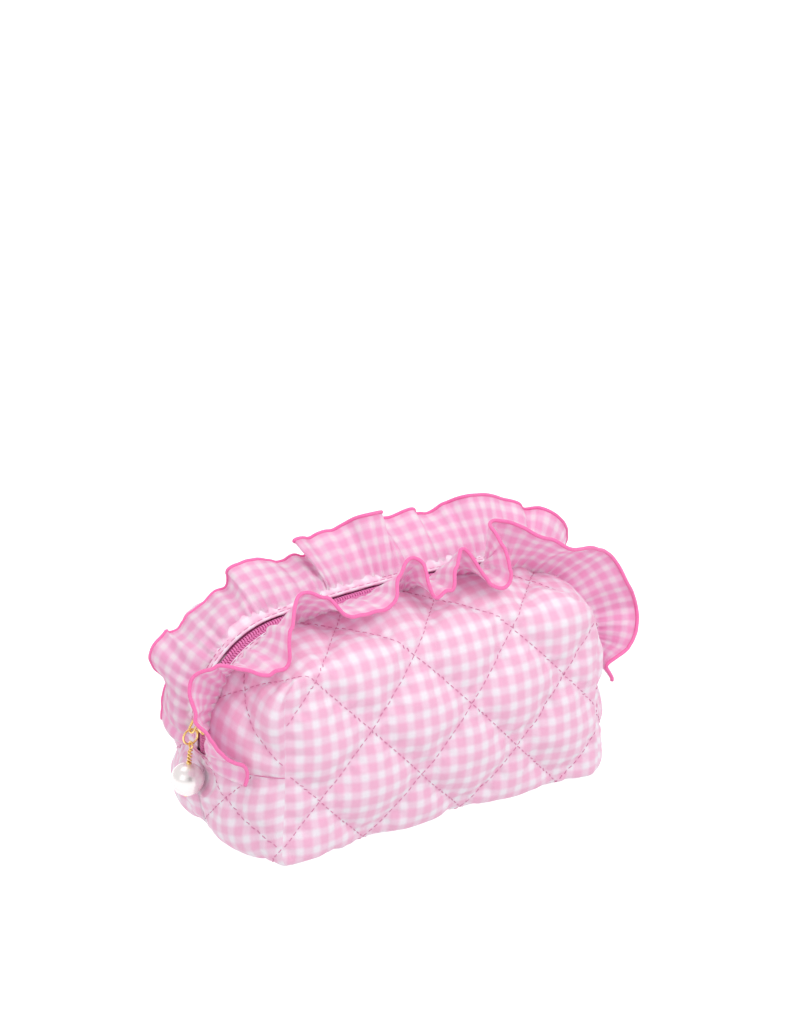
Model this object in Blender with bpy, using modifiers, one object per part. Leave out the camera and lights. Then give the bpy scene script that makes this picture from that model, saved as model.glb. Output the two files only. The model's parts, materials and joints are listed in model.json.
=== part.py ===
"""Quilted boxed pouch with a zip over the top, two gathered ruffles and a bead charm.

Metres, +Z up. The pouch stands on Z = 0, its length runs along X and its front
faces -Y. The zip closes at the left end (-X), where the slider carries the charm.

Every soft wall is three layers: cotton cover, wadding and lining. The pouch opens
along the zip: its front and back upper halves hinge about the line through the two
end seams, and a fold band on each side takes up the cloth that folds.
"""
import math

import bmesh
import bpy
from mathutils import Matrix, Vector

# Stuffed outline.
CORNER_X = 0.0840           # half length at the vertical corner seams
CORNER_Y = 0.0460           # half depth at the vertical corner seams
CORNER_Z = 0.0880           # height of the four top corners
CORNER_RADIUS = 0.0120      # rounding of the top corners at the front and back walls
WALL_BULGE = 0.0055         # most that the front and back walls stand proud of their corners
BULGE_HEIGHT = 0.0450       # height of that widest line
FOOT_RADIUS = 0.0100        # rounding along the foot of each end

# Zip line: up each end, round an arc, then a shallow arch over the top.
ZIP_ARC_X = 0.0520          # arc centre, from the middle of the pouch
ZIP_ARC_Z = 0.0500
ZIP_RADIUS = 0.0420         # to the middle of the coil
ZIP_ARCH_START = 0.0570     # half length of the arch
ZIP_ARCH_RISE = 0.0032
COVER_OVER_COIL = 0.0012    # cover's outer face above the middle of the coil

# Layers, as depths below the outer face.
COVER = (0.0, 0.0014)
WADDING = (0.0017, 0.0044)
LINING = (0.0047, 0.0055)
FULL_WALL = (0.0, 0.0055)

# The line the halves turn about, and the cuts that leave room for it.
SEAM_HEIGHT = 0.0400
OPEN_ANGLE = math.radians(25)
CUT_GAP = 0.00016
BAND_FROM_CENTRE = 0.0045
ZIP_GAP = 0.0052            # cover and lining stop this far from the middle of the zip
TAPE_POCKET = 0.0123        # wadding stops here, where the zip tape is sewn in

# Zip.
ROW_NEAR = 0.0006
ROW_FAR = 0.0030
COIL_THICK = 0.0022
TAPE_FAR = 0.0118
TAPE_THICK = 0.0005
TAPE_OFFSET = -0.0017       # middle of the tape, from the middle of the coil
HALF_ZIP_FOOT = {"left": 0.0621, "right": 0.0464}   # where the halves' coil and tape start
TAIL_COIL_TOP = {"left": 0.0617, "right": 0.0450}
TAIL_TAPE_TOP = {"left": 0.0597, "right": 0.0450}   # lower, under the halves' swing
TAIL_TAPE_FAR = {"left": 0.0088, "right": 0.0030}
TAIL_FOOT = 0.0404

# Ruffles.
RUFFLE_BASE = 0.0085        # gathering stitch, from the middle of the zip
RUFFLE_WIDTH = 0.0300
RUFFLE_THICK = 0.0007
RUFFLE_LEAN = {"front": math.radians(55), "back": math.radians(40)}
RUFFLE_WAVE = 0.0048
RUFFLE_WAVES = 11
HEM_RADIUS = 0.0008

# Bindings over the raw edges inside.
BINDING_THICK = 0.0016
BINDING_WIDTH = 0.0075
BINDING_INSET = 0.0090
END_BINDING_HALF = 0.0300   # half length of the strip behind each end seam
END_BINDING_INSET = 0.0034  # from the lining's inner face
END_BINDING_DROP = 0.0006   # below the end seam

# Slider and charm.
SLIDER_HALF_ANGLE = math.radians(8.4)
SLIDER_MIDDLE = math.radians(7.2)
SLIDER_HALF_WIDTH = 0.0042
PLATE_THICK = 0.0010
BRIDGE_WIRE = 0.0006
BRIDGE_HALF = 0.0022        # half length of the arch over the plate
BRIDGE_FOOT = 0.0006        # its feet go this deep into the plate
BRIDGE_RISE = 0.0014
PULL_WIRE = 0.00055
PULL_LENGTH = 0.0072
PULL_HALF_WIDTH = 0.0021
PULL_TILT = math.radians(32)
PULL_PIVOT = Vector((-0.0973, 0.0, 0.0574))
RING_RADIUS = 0.0035
RING_WIRE = 0.0005
EYE_RADIUS = 0.0015
EYE_WIRE = 0.0004
PEARL_RADIUS = 0.00725
PEARL_BORE = 0.0009
PIN_RADIUS = 0.00045
PIN_DROP = 0.0074           # from the eye to the top of the bead
WRAP_TOP = 0.0006           # the wire wrapped round the shank, from the eye down
WRAP_FOOT = 0.0045
HEAD_RADIUS = 0.0013
HEAD_THICK = 0.0002
HEAD_GAP = 0.0007           # from the foot of the bead to the foot of the pin
BORE_HALF = 0.012           # the bore's cutter, longer than the bead
CHARM_LEAN = math.radians(7.5)  # the bead leans on the end wall

COLLECTION = "makeup_bag"
COLOURS = {
    "cover": (0.93, 0.55, 0.72),
    "wadding": (0.92, 0.91, 0.88),
    "lining": (0.95, 0.80, 0.87),
    "ruffle": (0.95, 0.62, 0.78),
    "hem": (0.88, 0.20, 0.48),
    "binding": (0.90, 0.45, 0.65),
    "zip": (0.62, 0.08, 0.33),
    "gold": (0.83, 0.62, 0.24),
    "pearl": (0.90, 0.86, 0.85),
}


def clear_scene():
    """Remove every object and leave one collection for the parts, one for cutters."""
    for thing in list(bpy.data.objects):
        bpy.data.objects.remove(thing, do_unlink=True)
    made = []
    for name in (COLLECTION, "cutters"):
        group = bpy.data.collections.new(name)
        bpy.context.scene.collection.children.link(group)
        made.append(group)
    return made


PARTS, CUTTERS = clear_scene()


def material(kind):
    """One Principled material per kind of stuff."""
    found = bpy.data.materials.get(kind)
    if found:
        return found
    made = bpy.data.materials.new(kind)
    made.use_nodes = True
    shader = made.node_tree.nodes["Principled BSDF"]
    shader.inputs["Base Color"].default_value = (*COLOURS[kind], 1.0)
    shader.inputs["Metallic"].default_value = 1.0 if kind == "gold" else 0.0
    shader.inputs["Roughness"].default_value = 0.25 if kind in ("gold", "pearl") else 0.85
    return made


def add_part(name, data, kind):
    """Link a mesh or curve as one named part."""
    part = bpy.data.objects.new(name, data)
    part.data.materials.append(material(kind))
    PARTS.objects.link(part)
    return part


def add_cutter(name, data):
    """Link a mesh that only cuts."""
    cutter = bpy.data.objects.new(name, data)
    cutter.hide_render = True
    cutter.display_type = "WIRE"
    CUTTERS.objects.link(cutter)
    return cutter


def boolean(part, operation, cutter):
    """Add one Boolean, left on the part as a modifier."""
    step = part.modifiers.new(operation.lower() + "_" + cutter.name, "BOOLEAN")
    step.operation = operation
    step.solver = "EXACT"
    step.object = cutter


def origin_to(part, place):
    """Move a part's origin, keeping its shape where it is."""
    place = Vector(place)
    for vertex in part.data.vertices:
        vertex.co -= place
    part.location = place


# ---------------------------------------------------------------- pouch walls

def round_corner(along, up, half, top, radius):
    """Concentric map of a square corner to a round one, in the plane of one section."""
    over_x = abs(along) - (half - radius)
    over_z = up - (top - radius)
    if over_x <= 0 or over_z <= 0:
        return along, up
    reach = max(over_x, over_z) / math.hypot(over_x, over_z)
    along = math.copysign(half - radius + over_x * reach, along)
    return along, top - radius + over_z * reach


def form_point(cube, depth):
    """Point of the stuffed outline for a point of the unit cube, a depth inside."""
    u, v, w = cube
    u = math.sin(1.35 * u) / math.sin(1.35)
    crown = 1 - v * v
    zip_face = ZIP_RADIUS + COVER_OVER_COIL
    half = CORNER_X + (ZIP_ARC_X + zip_face - CORNER_X) * crown - depth
    top = CORNER_Z + (ZIP_ARC_Z + zip_face - CORNER_Z) * crown - depth
    radius = CORNER_RADIUS + (zip_face - CORNER_RADIUS) * crown ** 0.6 - depth
    along = u * half
    up = depth + (w + 1) / 2 * (top - depth)
    along, up = round_corner(along, up, half, top, radius)
    foot = FOOT_RADIUS * (1 - 0.4 * v * v) - depth * 0.5
    along, down = round_corner(along, -up, half, -depth, foot)
    up = -down
    rise = max(0.0, 1 - (along / ZIP_ARCH_START) ** 2) * max(0.0, w) ** 2
    up += ZIP_ARCH_RISE * rise
    bulge = WALL_BULGE * (1 - 2 * ((up - BULGE_HEIGHT) / BULGE_HEIGHT) ** 2)
    across = v * (CORNER_Y + (1 - u * u) * bulge - depth)
    return Vector((along, across, up))


def form_mesh(name, depth):
    """Closed mesh of the outline at a depth: a divided cube pushed to shape."""
    mesh = bpy.data.meshes.new(name)
    bm = bmesh.new()
    bmesh.ops.create_cube(bm, size=2.0)
    for axis, cuts in ((0, 11), (1, 5), (2, 7)):
        along = [e for e in bm.edges
                 if abs(abs(e.verts[0].co[axis] - e.verts[1].co[axis]) - 2.0) < 1e-6]
        bmesh.ops.subdivide_edges(bm, edges=along, cuts=cuts, use_grid_fill=True)
    for vertex in bm.verts:
        vertex.co = form_point(vertex.co, depth)
    bmesh.ops.triangulate(bm, faces=bm.faces, quad_method="FIXED")
    bmesh.ops.recalc_face_normals(bm, faces=bm.faces)
    bm.to_mesh(mesh)
    bm.free()
    return mesh


def face_outwards(mesh):
    """Make a closed mesh's faces point out."""
    bm = bmesh.new()
    bm.from_mesh(mesh)
    bmesh.ops.recalc_face_normals(bm, faces=bm.faces)
    bm.to_mesh(mesh)
    bm.free()


def block(name, low, high, tilt=0.0):
    """Box cutter between two corners, tilted about the line through the end seams."""
    bpy.ops.mesh.primitive_cube_add(size=1.0)
    made = bpy.context.object
    mesh = made.data
    bpy.data.objects.remove(made)
    low, high = Vector(low), Vector(high)
    pivot = Vector((0, 0, SEAM_HEIGHT))
    for vertex in mesh.vertices:
        spread = Vector([vertex.co[i] * (high[i] - low[i]) for i in range(3)])
        point = (low + high) / 2 + spread - pivot
        turned_y = point.y * math.cos(tilt) - point.z * math.sin(tilt)
        turned_z = point.y * math.sin(tilt) + point.z * math.cos(tilt)
        vertex.co = Vector((point.x, turned_y, turned_z)) + pivot
    return add_cutter(name, mesh)


FAR = 0.3
OVER_SEAM = SEAM_HEIGHT + CUT_GAP
UNDER_SEAM = SEAM_HEIGHT - CUT_GAP
SIDES = {"front": -1, "back": 1}


def half_block(side, from_centre, name):
    """Everything above the end seams on one side of the zip."""
    near, far = sorted((SIDES[side] * from_centre, SIDES[side] * FAR))
    return block(name, (-FAR, near, OVER_SEAM), (FAR, far, FAR))


def make_cutters():
    """Blocks that split the walls into tub, fold bands and halves."""
    made = {}
    for side, sign in SIDES.items():
        tilt = -sign * OPEN_ANGLE
        made[side, "above_v"] = block(
            side + "_swept_room", (-FAR, min(0, sign * FAR), UNDER_SEAM),
            (FAR, max(0, sign * FAR), FAR), tilt)
        made[side, "half"] = half_block(side, ZIP_GAP, side + "_half_room")
        made[side, "pocketed"] = half_block(side, TAPE_POCKET, side + "_pocket_room")
        near, far = sorted((sign * BAND_FROM_CENTRE, sign * FAR))
        made[side, "band"] = block(
            side + "_band_room", (-FAR, near, -FAR), (FAR, far, UNDER_SEAM))
        made[side, "tub_under_v"] = block(
            side + "_tub_room", (-FAR, min(0, sign * FAR) - 0.2 * (sign > 0), -2 * FAR),
            (FAR, max(0, sign * FAR) + 0.2 * (sign < 0), OVER_SEAM), tilt)
    made["lower"] = block("lower_room", (-FAR, -FAR, -FAR), (FAR, FAR, UNDER_SEAM))
    for depth in sorted({COVER[1], WADDING[1], LINING[1]}):
        name = "inside_%04d" % round(depth * 1e6)
        made[depth] = add_cutter(name, form_mesh(name, depth))
    return made


CUTS = make_cutters()


def shell(name, kind, layer):
    """One layer of the whole stuffed outline, before it is split."""
    part = add_part(name, form_mesh(name, layer[0]), kind)
    boolean(part, "DIFFERENCE", CUTS[layer[1]])
    return part


def make_tub():
    """Lower walls: bottom and the walls below the room that the halves sweep."""
    for name, kind, layer in (("lower_cover", "cover", COVER),
                              ("lower_wadding", "wadding", WADDING),
                              ("lower_lining", "lining", LINING)):
        part = shell(name, kind, layer)
        boolean(part, "INTERSECT", CUTS["lower"])
        for side in SIDES:
            boolean(part, "DIFFERENCE", CUTS[side, "above_v"])


def make_fold_bands():
    """Wedge of full wall on each side, between the tub and a half."""
    for side in SIDES:
        part = shell(side + "_fold_band", "cover", FULL_WALL)
        boolean(part, "INTERSECT", CUTS[side, "band"])
        boolean(part, "DIFFERENCE", CUTS[side, "tub_under_v"])


def make_halves():
    """Upper walls on each side of the zip."""
    for side in SIDES:
        for name, kind, layer, room in (("cover", "cover", COVER, "half"),
                                        ("wadding", "wadding", WADDING, "pocketed"),
                                        ("lining", "lining", LINING, "half")):
            part = shell(side + "_" + name, kind, layer)
            boolean(part, "INTERSECT", CUTS[side, room])


# ---------------------------------------------------------------- zip

def zip_line(offset, low_left, low_right, arc_steps=9, arch_steps=12):
    """Points (x, z) along the zip from the left end to the right, offset outwards."""
    radius = ZIP_RADIUS + offset
    start = math.acos((ZIP_ARCH_START - ZIP_ARC_X) / ZIP_RADIUS)
    arc = [(ZIP_ARC_X + radius * math.cos(start * i / arc_steps),
            ZIP_ARC_Z + radius * math.sin(start * i / arc_steps))
           for i in range(arc_steps + 1)]
    shoulder = arc[-1][0]
    arch = []
    for i in range(1, arch_steps):
        x = -shoulder + 2 * shoulder * i / arch_steps
        arch.append((x, arc[-1][1] + ZIP_ARCH_RISE * (1 - (x / shoulder) ** 2)))
    left = [(-x, z) for x, z in arc]
    right = list(reversed(arc))
    foot = ZIP_ARC_X + radius
    whole = [(-foot, SEAM_HEIGHT)] + left + arch + right + [(foot, SEAM_HEIGHT)]
    return trim(whole, low_left, low_right)


def trim(points, low_left, low_right):
    """Cut an up-and-over line at a height on each end."""
    middle = len(points) // 2
    return (rising(points[:middle], low_left)
            + rising(points[middle:][::-1], low_right)[::-1])


def rising(points, low):
    """The part of a rising line above a height, starting exactly there."""
    kept = [p for p in points if p[1] > low + 1e-5]
    first = points[len(points) - len(kept) - 1]
    share = (low - first[1]) / (kept[0][1] - first[1])
    start = (first[0] + (kept[0][0] - first[0]) * share, low)
    return [start] + kept


def strip_mesh(name, rows):
    """Grid of points, one list per cross-section, as an open sheet."""
    mesh = bpy.data.meshes.new(name)
    bm = bmesh.new()
    across = len(rows[0])
    bmesh.ops.create_grid(bm, x_segments=across - 1, y_segments=len(rows) - 1, size=0.5)
    for vertex in bm.verts:
        i = round((vertex.co.y + 0.5) * (len(rows) - 1))
        j = round((vertex.co.x + 0.5) * (across - 1))
        vertex.co = rows[i][j]
    bm.to_mesh(mesh)
    bm.free()
    return mesh


def thicken(part, thickness):
    """Solidify about the middle of the sheet."""
    step = part.modifiers.new("thickness", "SOLIDIFY")
    step.thickness = thickness
    step.offset = 0.0
    step.use_even_offset = True


def ribbon(name, kind, line, near, far, thickness):
    """Flat bar along the zip between two distances from its middle."""
    rows = [(Vector((x, near, z)), Vector((x, far, z))) for x, z in line]
    part = add_part(name, strip_mesh(name, rows), kind)
    thicken(part, thickness)
    return part


def make_zip():
    """Two tapes, two coil rows, and the closed tails above each end seam."""
    lows = HALF_ZIP_FOOT["left"], HALF_ZIP_FOOT["right"]
    for side, sign in SIDES.items():
        ribbon(side + "_zipper_tape", "zip", zip_line(TAPE_OFFSET, *lows),
               sign * ROW_NEAR, sign * TAPE_FAR, TAPE_THICK)
        ribbon(side + "_zipper_coil", "zip", zip_line(0.0, *lows),
               sign * ROW_NEAR, sign * ROW_FAR, COIL_THICK)
    for end, sign in (("left", -1), ("right", 1)):
        for side, across in SIDES.items():
            name = "%s_%s_tail_" % (side, end)
            ribbon(name + "tape", "zip", tail_line(sign, TAPE_OFFSET, TAIL_TAPE_TOP[end]),
                   across * ROW_NEAR, across * TAIL_TAPE_FAR[end], TAPE_THICK)
            ribbon(name + "coil", "zip", tail_line(sign, 0.0, TAIL_COIL_TOP[end]),
                   across * ROW_NEAR, across * ROW_FAR, COIL_THICK)


def tail_line(sign, offset, top):
    """Points (x, z) up one end, from the end seam to a height."""
    line = zip_line(offset, TAIL_FOOT, TAIL_FOOT, arc_steps=18)
    line = [(sign * -x, z) for x, z in line[:len(line) // 2]]
    kept = [p for p in line if p[1] < top - 0.0008]
    above = line[len(kept)]
    share = (top - kept[-1][1]) / (above[1] - kept[-1][1])
    return kept + [(kept[-1][0] + (above[0] - kept[-1][0]) * share, top)]


# ---------------------------------------------------------------- ruffles

def ruffle_rows(side, line):
    """Cross-sections of a ruffle: gathered at its base, waved at its hem."""
    sign = SIDES[side]
    lean = RUFFLE_LEAN[side]
    rows = []
    last = len(line) - 1
    for i, (x, z) in enumerate(line):
        outward = outward_normal(line, i)
        at_end = min(1.0, min(i, last - i) / 6)
        tilt = lean + (math.radians(72) - lean) * (1 - at_end)
        width = RUFFLE_WIDTH * (0.86 + 0.14 * at_end)
        wave = RUFFLE_WAVE * math.sin(2 * math.pi * RUFFLE_WAVES * i / last) * at_end
        row = []
        for share in (0.0, 0.35, 0.7, 1.0):
            reach = width * share
            out = reach * math.cos(tilt) - wave * share * math.sin(tilt) + 0.0022
            away = RUFFLE_BASE + reach * math.sin(tilt) + wave * share * math.cos(tilt)
            row.append(Vector((x + outward[0] * out, sign * away, z + outward[1] * out)))
        rows.append(row)
    return rows


def outward_normal(line, i):
    """Unit normal pointing away from the pouch, in the plane of the zip line."""
    before = line[max(0, i - 1)]
    after = line[min(len(line) - 1, i + 1)]
    run = (after[0] - before[0], after[1] - before[1])
    size = math.hypot(*run)
    return (-run[1] / size, run[0] / size)


def make_ruffles():
    """Two gathered strips, each with a rolled hem along its free edge."""
    foot = SEAM_HEIGHT + 0.0045
    for side in SIDES:
        line = resample(zip_line(COVER_OVER_COIL, foot, foot, 12, 14), 66)
        rows = ruffle_rows(side, line)
        sheet = [row[:3] + [row[3].lerp(row[2], 0.14)] for row in rows]
        part = add_part(side + "_ruffle", strip_mesh(side + "_ruffle", sheet), "ruffle")
        thicken(part, RUFFLE_THICK)
        wire(side + "_ruffle_hem", "hem", [row[3] for row in rows], HEM_RADIUS)


def resample(points, count):
    """Even steps along a polyline."""
    reach = [0.0]
    for a, b in zip(points, points[1:]):
        reach.append(reach[-1] + math.dist(a, b))
    out = []
    k = 0
    for i in range(count):
        want = reach[-1] * i / (count - 1)
        while k < len(points) - 2 and reach[k + 1] < want:
            k += 1
        share = (want - reach[k]) / (reach[k + 1] - reach[k])
        out.append(tuple(p + (q - p) * share for p, q in zip(points[k], points[k + 1])))
    return out


def wire(name, kind, points, radius, closed=False, fine=2):
    """Round wire through points, as a bevelled curve."""
    curve = bpy.data.curves.new(name, "CURVE")
    curve.dimensions = "3D"
    curve.bevel_depth = radius
    curve.bevel_resolution = fine
    curve.use_fill_caps = True
    spline = curve.splines.new("POLY")
    spline.points.add(len(points) - 1)
    for slot, point in zip(spline.points, points):
        slot.co = (*point, 1.0)
    spline.use_cyclic_u = closed
    return add_part(name, curve, kind)


# ---------------------------------------------------------------- bindings

def make_corner_bindings():
    """Bound seam allowance inside each corner, split where the halves turn."""
    for side, sign in SIDES.items():
        for end, along in (("left", -1), ("right", 1)):
            for level, low, high in (("lower", 0.0090, 0.0205),
                                     ("upper", SEAM_HEIGHT + 0.0008, 0.0740)):
                name = "%s_%s_%s_corner_binding" % (side, end, level)
                corner_strip(name, along, sign, low, high)


def corner_strip(name, along, across, low, high):
    """Upright strip that points from a corner at the middle of the pouch."""
    bpy.ops.mesh.primitive_cube_add(size=1.0)
    made = bpy.context.object
    mesh = made.data
    bpy.data.objects.remove(made)
    mesh.name = name
    inner = Vector((along * (CORNER_X - BINDING_INSET), across * (CORNER_Y - BINDING_INSET), 0))
    inward = Vector((-along, -across, 0)).normalized()
    side = Vector((inward.y, -inward.x, 0))
    for vertex in mesh.vertices:
        reach = (vertex.co.x + 0.5) * BINDING_WIDTH
        point = inner + inward * reach + side * vertex.co.y * BINDING_THICK
        point.z = low + (vertex.co.z + 0.5) * (high - low)
        vertex.co = point
    face_outwards(mesh)
    add_part(name, mesh, "binding")


def make_end_bindings():
    """Bound seam allowance behind each end seam, folded down."""
    half = END_BINDING_HALF
    steps = 8
    inset = LINING[1] + END_BINDING_INSET
    for end, along in (("left", -1), ("right", 1)):
        rows = []
        for i in range(steps + 1):
            y = half * (2 * i / steps - 1)
            crown = 1 - (y / CORNER_Y) ** 2
            zip_face = ZIP_ARC_X + ZIP_RADIUS + COVER_OVER_COIL
            x = along * (CORNER_X + (zip_face - CORNER_X) * crown - inset)
            top = SEAM_HEIGHT - END_BINDING_DROP
            rows.append((Vector((x, y, top - BINDING_WIDTH)), Vector((x, y, top))))
        name = end + "_end_seam_binding"
        part = add_part(name, strip_mesh(name, rows), "binding")
        thicken(part, BINDING_THICK)


# ---------------------------------------------------------------- slider and charm

def arc_line(radius, low, high, steps=5):
    """Points (x, z) on the left zip arc between two angles above its level."""
    points = []
    for i in range(steps + 1):
        angle = low + (high - low) * i / steps
        points.append((-ZIP_ARC_X - radius * math.cos(angle),
                       ZIP_ARC_Z + radius * math.sin(angle)))
    return points


def arc_bar(name, near, far, inner, outer, low, high):
    """Cutter-side bar bent round the zip arc, for joining to the slider."""
    line = arc_line((inner + outer) / 2, low, high)
    rows = [(Vector((x, near, z)), Vector((x, far, z))) for x, z in line]
    bar = add_cutter(name, strip_mesh(name, rows))
    thicken(bar, outer - inner)
    return bar


def make_slider():
    """Two bent plates, side lips, the post between the rows, and the bridge."""
    low = SLIDER_MIDDLE - SLIDER_HALF_ANGLE
    high = SLIDER_MIDDLE + SLIDER_HALF_ANGLE
    width = SLIDER_HALF_WIDTH
    top_in = ZIP_RADIUS + COIL_THICK / 2 + 0.0004
    top_out = top_in + PLATE_THICK
    foot_out = ZIP_RADIUS + TAPE_OFFSET - TAPE_THICK / 2 - 0.0004
    foot_in = foot_out - PLATE_THICK
    line = arc_line((top_in + top_out) / 2, low, high)
    slider = ribbon("slider", "gold", line, -width, width, PLATE_THICK)
    lip_in = ZIP_RADIUS + TAPE_OFFSET + TAPE_THICK / 2 + 0.0004
    bite = 0.0003
    for sign in (-1, 1):
        boolean(slider, "UNION", arc_bar(
            "slider_lip_%+d" % sign, sign * (width - 0.0007), sign * width,
            lip_in, top_in + bite, low + 0.01, high - 0.01))
    boolean(slider, "UNION", arc_bar(
        "slider_foot", -width, width, foot_in, foot_out, low, high))
    boolean(slider, "UNION", arc_bar(
        "slider_post", -0.00028, 0.00028, foot_out - bite, top_in + bite,
        low + 0.002, low + 0.075))
    boolean(slider, "UNION", bridge_cutter(top_out))
    origin_to_axis(slider)


def bridge_cutter(plate):
    """Arch over the top plate that the pull hangs from."""
    out = plate + ZIP_ARC_X - BRIDGE_FOOT
    mid = PULL_PIVOT.z
    half = BRIDGE_HALF
    points = [(-out, 0, mid - half)]
    points += [(-out - BRIDGE_RISE - half * math.sin(math.pi * i / 8) * 0.8, 0,
                mid - half * math.cos(math.pi * i / 8)) for i in range(9)]
    points += [(-out + BRIDGE_FOOT / 2, 0, mid + half)]
    made = wire("slider_bridge", "gold", points, BRIDGE_WIRE, fine=3)
    return as_cutter(made)


def as_mesh_object(curve_object):
    """Mesh copy of a curve object, its caps welded."""
    bpy.context.view_layer.update()
    graph = bpy.context.evaluated_depsgraph_get()
    mesh = bpy.data.meshes.new_from_object(curve_object.evaluated_get(graph))
    bm = bmesh.new()
    bm.from_mesh(mesh)
    bmesh.ops.remove_doubles(bm, verts=bm.verts, dist=1e-6)
    bmesh.ops.recalc_face_normals(bm, faces=bm.faces)
    bm.to_mesh(mesh)
    bm.free()
    made = bpy.data.objects.new(curve_object.name + "_mesh", mesh)
    made.matrix_world = curve_object.matrix_world.copy()
    bpy.data.objects.remove(curve_object, do_unlink=True)
    return made


def as_cutter(curve_object):
    """Turn a curve object into a mesh that joins or cuts."""
    made = as_mesh_object(curve_object)
    made.hide_render = True
    made.display_type = "WIRE"
    CUTTERS.objects.link(made)
    return made


def origin_to_axis(slider):
    """The slider turns about the centre of the zip arc."""
    origin_to(slider, (-ZIP_ARC_X, 0, ZIP_ARC_Z))


def loop_points(top, length, half_width, tilt, steps=6):
    """Long oval hanging from a point, tilted outwards."""
    straight = length - 2 * half_width
    points = []
    for centre, start in ((-half_width, 0.0), (-half_width - straight, math.pi)):
        for i in range(steps + 1):
            angle = start + math.pi * i / steps
            points.append((half_width * math.cos(angle), centre + half_width * math.sin(angle)))
    down = Vector((-math.sin(tilt), 0, -math.cos(tilt)))
    return [top + Vector((0, y, 0)) - down * drop for y, drop in points]


def make_charm():
    """Pull loop, jump ring, headed eye pin and bead, each on its own pivot."""
    pull = wire("pull_loop", "gold",
                loop_points(PULL_PIVOT, PULL_LENGTH, PULL_HALF_WIDTH, PULL_TILT),
                PULL_WIRE, closed=True)
    centre_curve(pull, PULL_PIVOT)
    down = Vector((-math.sin(PULL_TILT), 0, -math.cos(PULL_TILT)))
    bar = PULL_PIVOT + down * PULL_LENGTH
    drop = RING_RADIUS - (RING_WIRE + PULL_WIRE + 0.0001)
    ring_centre = bar + Vector((0, 0, -drop))
    ring("jump_ring", ring_centre, bar)
    ring_foot = ring_centre + Vector((0, 0, -RING_RADIUS))
    eye_centre = ring_foot + Vector((0, 0, -(EYE_RADIUS - RING_WIRE - EYE_WIRE - 0.0001)))
    make_pin(eye_centre, ring_foot)


def centre_curve(part, place):
    """Move a curve's origin to a place, keeping its shape."""
    for spline in part.data.splines:
        for point in spline.points:
            point.co = (*(Vector(point.co[:3]) - place), 1.0)
    part.location = place


def ring(name, centre, pivot):
    """Round ring in the plane of the zip line."""
    bpy.ops.mesh.primitive_torus_add(major_radius=RING_RADIUS, minor_radius=RING_WIRE,
                                     major_segments=24, minor_segments=8,
                                     rotation=(math.pi / 2, 0, 0), location=centre)
    made = bpy.context.object
    made.name = name
    adopt(made, "gold")
    bpy.ops.object.transform_apply(location=True, rotation=True, scale=True)
    origin_to(made, pivot)


def adopt(made, kind):
    """Move an operator-made object into the parts collection, with its material."""
    for group in list(made.users_collection):
        group.objects.unlink(made)
    PARTS.objects.link(made)
    bpy.context.view_layer.objects.active = made
    made.select_set(True)
    made.data.materials.clear()
    made.data.materials.append(material(kind))


def make_pin(eye_centre, pivot):
    """Eye, shank through the bead, and the head under it, with the bead itself."""
    wrap_top = eye_centre.z - EYE_RADIUS
    pearl_z = wrap_top - PIN_DROP - PEARL_RADIUS
    head_z = pearl_z - PEARL_RADIUS - HEAD_GAP
    bpy.ops.mesh.primitive_torus_add(major_radius=EYE_RADIUS, minor_radius=EYE_WIRE,
                                     major_segments=20, minor_segments=8,
                                     rotation=(0, math.pi / 2, 0), location=eye_centre)
    pin = bpy.context.object
    pin.name = "eye_pin"
    adopt(pin, "gold")
    bpy.ops.object.transform_apply(location=True, rotation=True, scale=True)
    place = (eye_centre.x, eye_centre.y)
    boolean(pin, "UNION", turned("pin_shank", place, eye_centre, [
        (PIN_RADIUS, wrap_top), (PIN_RADIUS * 2, wrap_top - WRAP_TOP),
        (PIN_RADIUS * 2, wrap_top - WRAP_FOOT), (PIN_RADIUS, wrap_top - WRAP_FOOT - WRAP_TOP / 2),
        (PIN_RADIUS, head_z + 1.5 * HEAD_THICK), (HEAD_RADIUS, head_z + HEAD_THICK),
        (HEAD_RADIUS, head_z)]))
    origin_to(pin, pivot)
    bpy.ops.mesh.primitive_uv_sphere_add(radius=PEARL_RADIUS, segments=28, ring_count=18,
                                         location=(*place, pearl_z))
    pearl = bpy.context.object
    pearl.name = "pearl"
    adopt(pearl, "pearl")
    bpy.ops.object.transform_apply(location=True, rotation=True, scale=True)
    lean(pearl.data, eye_centre)
    pearl.data.shade_smooth()
    boolean(pearl, "DIFFERENCE", turned("pearl_bore", place, eye_centre, [
        (PEARL_BORE, pearl_z + BORE_HALF), (PEARL_BORE, pearl_z - BORE_HALF)]))
    middle = Vector((0, 0, pearl_z - eye_centre.z))
    middle.rotate(Matrix.Rotation(CHARM_LEAN, 3, "Y"))
    origin_to(pearl, eye_centre + middle)


def lean(mesh, pivot):
    """Turn a mesh outwards about the eye, as far as the bead leans."""
    turn = Matrix.Rotation(CHARM_LEAN, 3, "Y")
    for vertex in mesh.vertices:
        vertex.co = pivot + turn @ (vertex.co - pivot)


def turned(name, centre, pivot, profile):
    """Closed solid of (radius, height) steps round the bead's leaning axis."""
    mesh = bpy.data.meshes.new(name)
    bm = bmesh.new()
    sides = 14
    rings = []
    for radius, height in profile:
        rings.append([bm.verts.new((centre[0] + radius * math.cos(2 * math.pi * k / sides),
                                    centre[1] + radius * math.sin(2 * math.pi * k / sides),
                                    height)) for k in range(sides)])
    for upper, lower in zip(rings, rings[1:]):
        for k in range(sides):
            nxt = (k + 1) % sides
            bm.faces.new((upper[k], lower[k], lower[nxt], upper[nxt]))
    bm.faces.new(rings[0])
    bm.faces.new(list(reversed(rings[-1])))
    bmesh.ops.recalc_face_normals(bm, faces=bm.faces)
    bm.to_mesh(mesh)
    bm.free()
    lean(mesh, pivot)
    return add_cutter(name, mesh)


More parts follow.
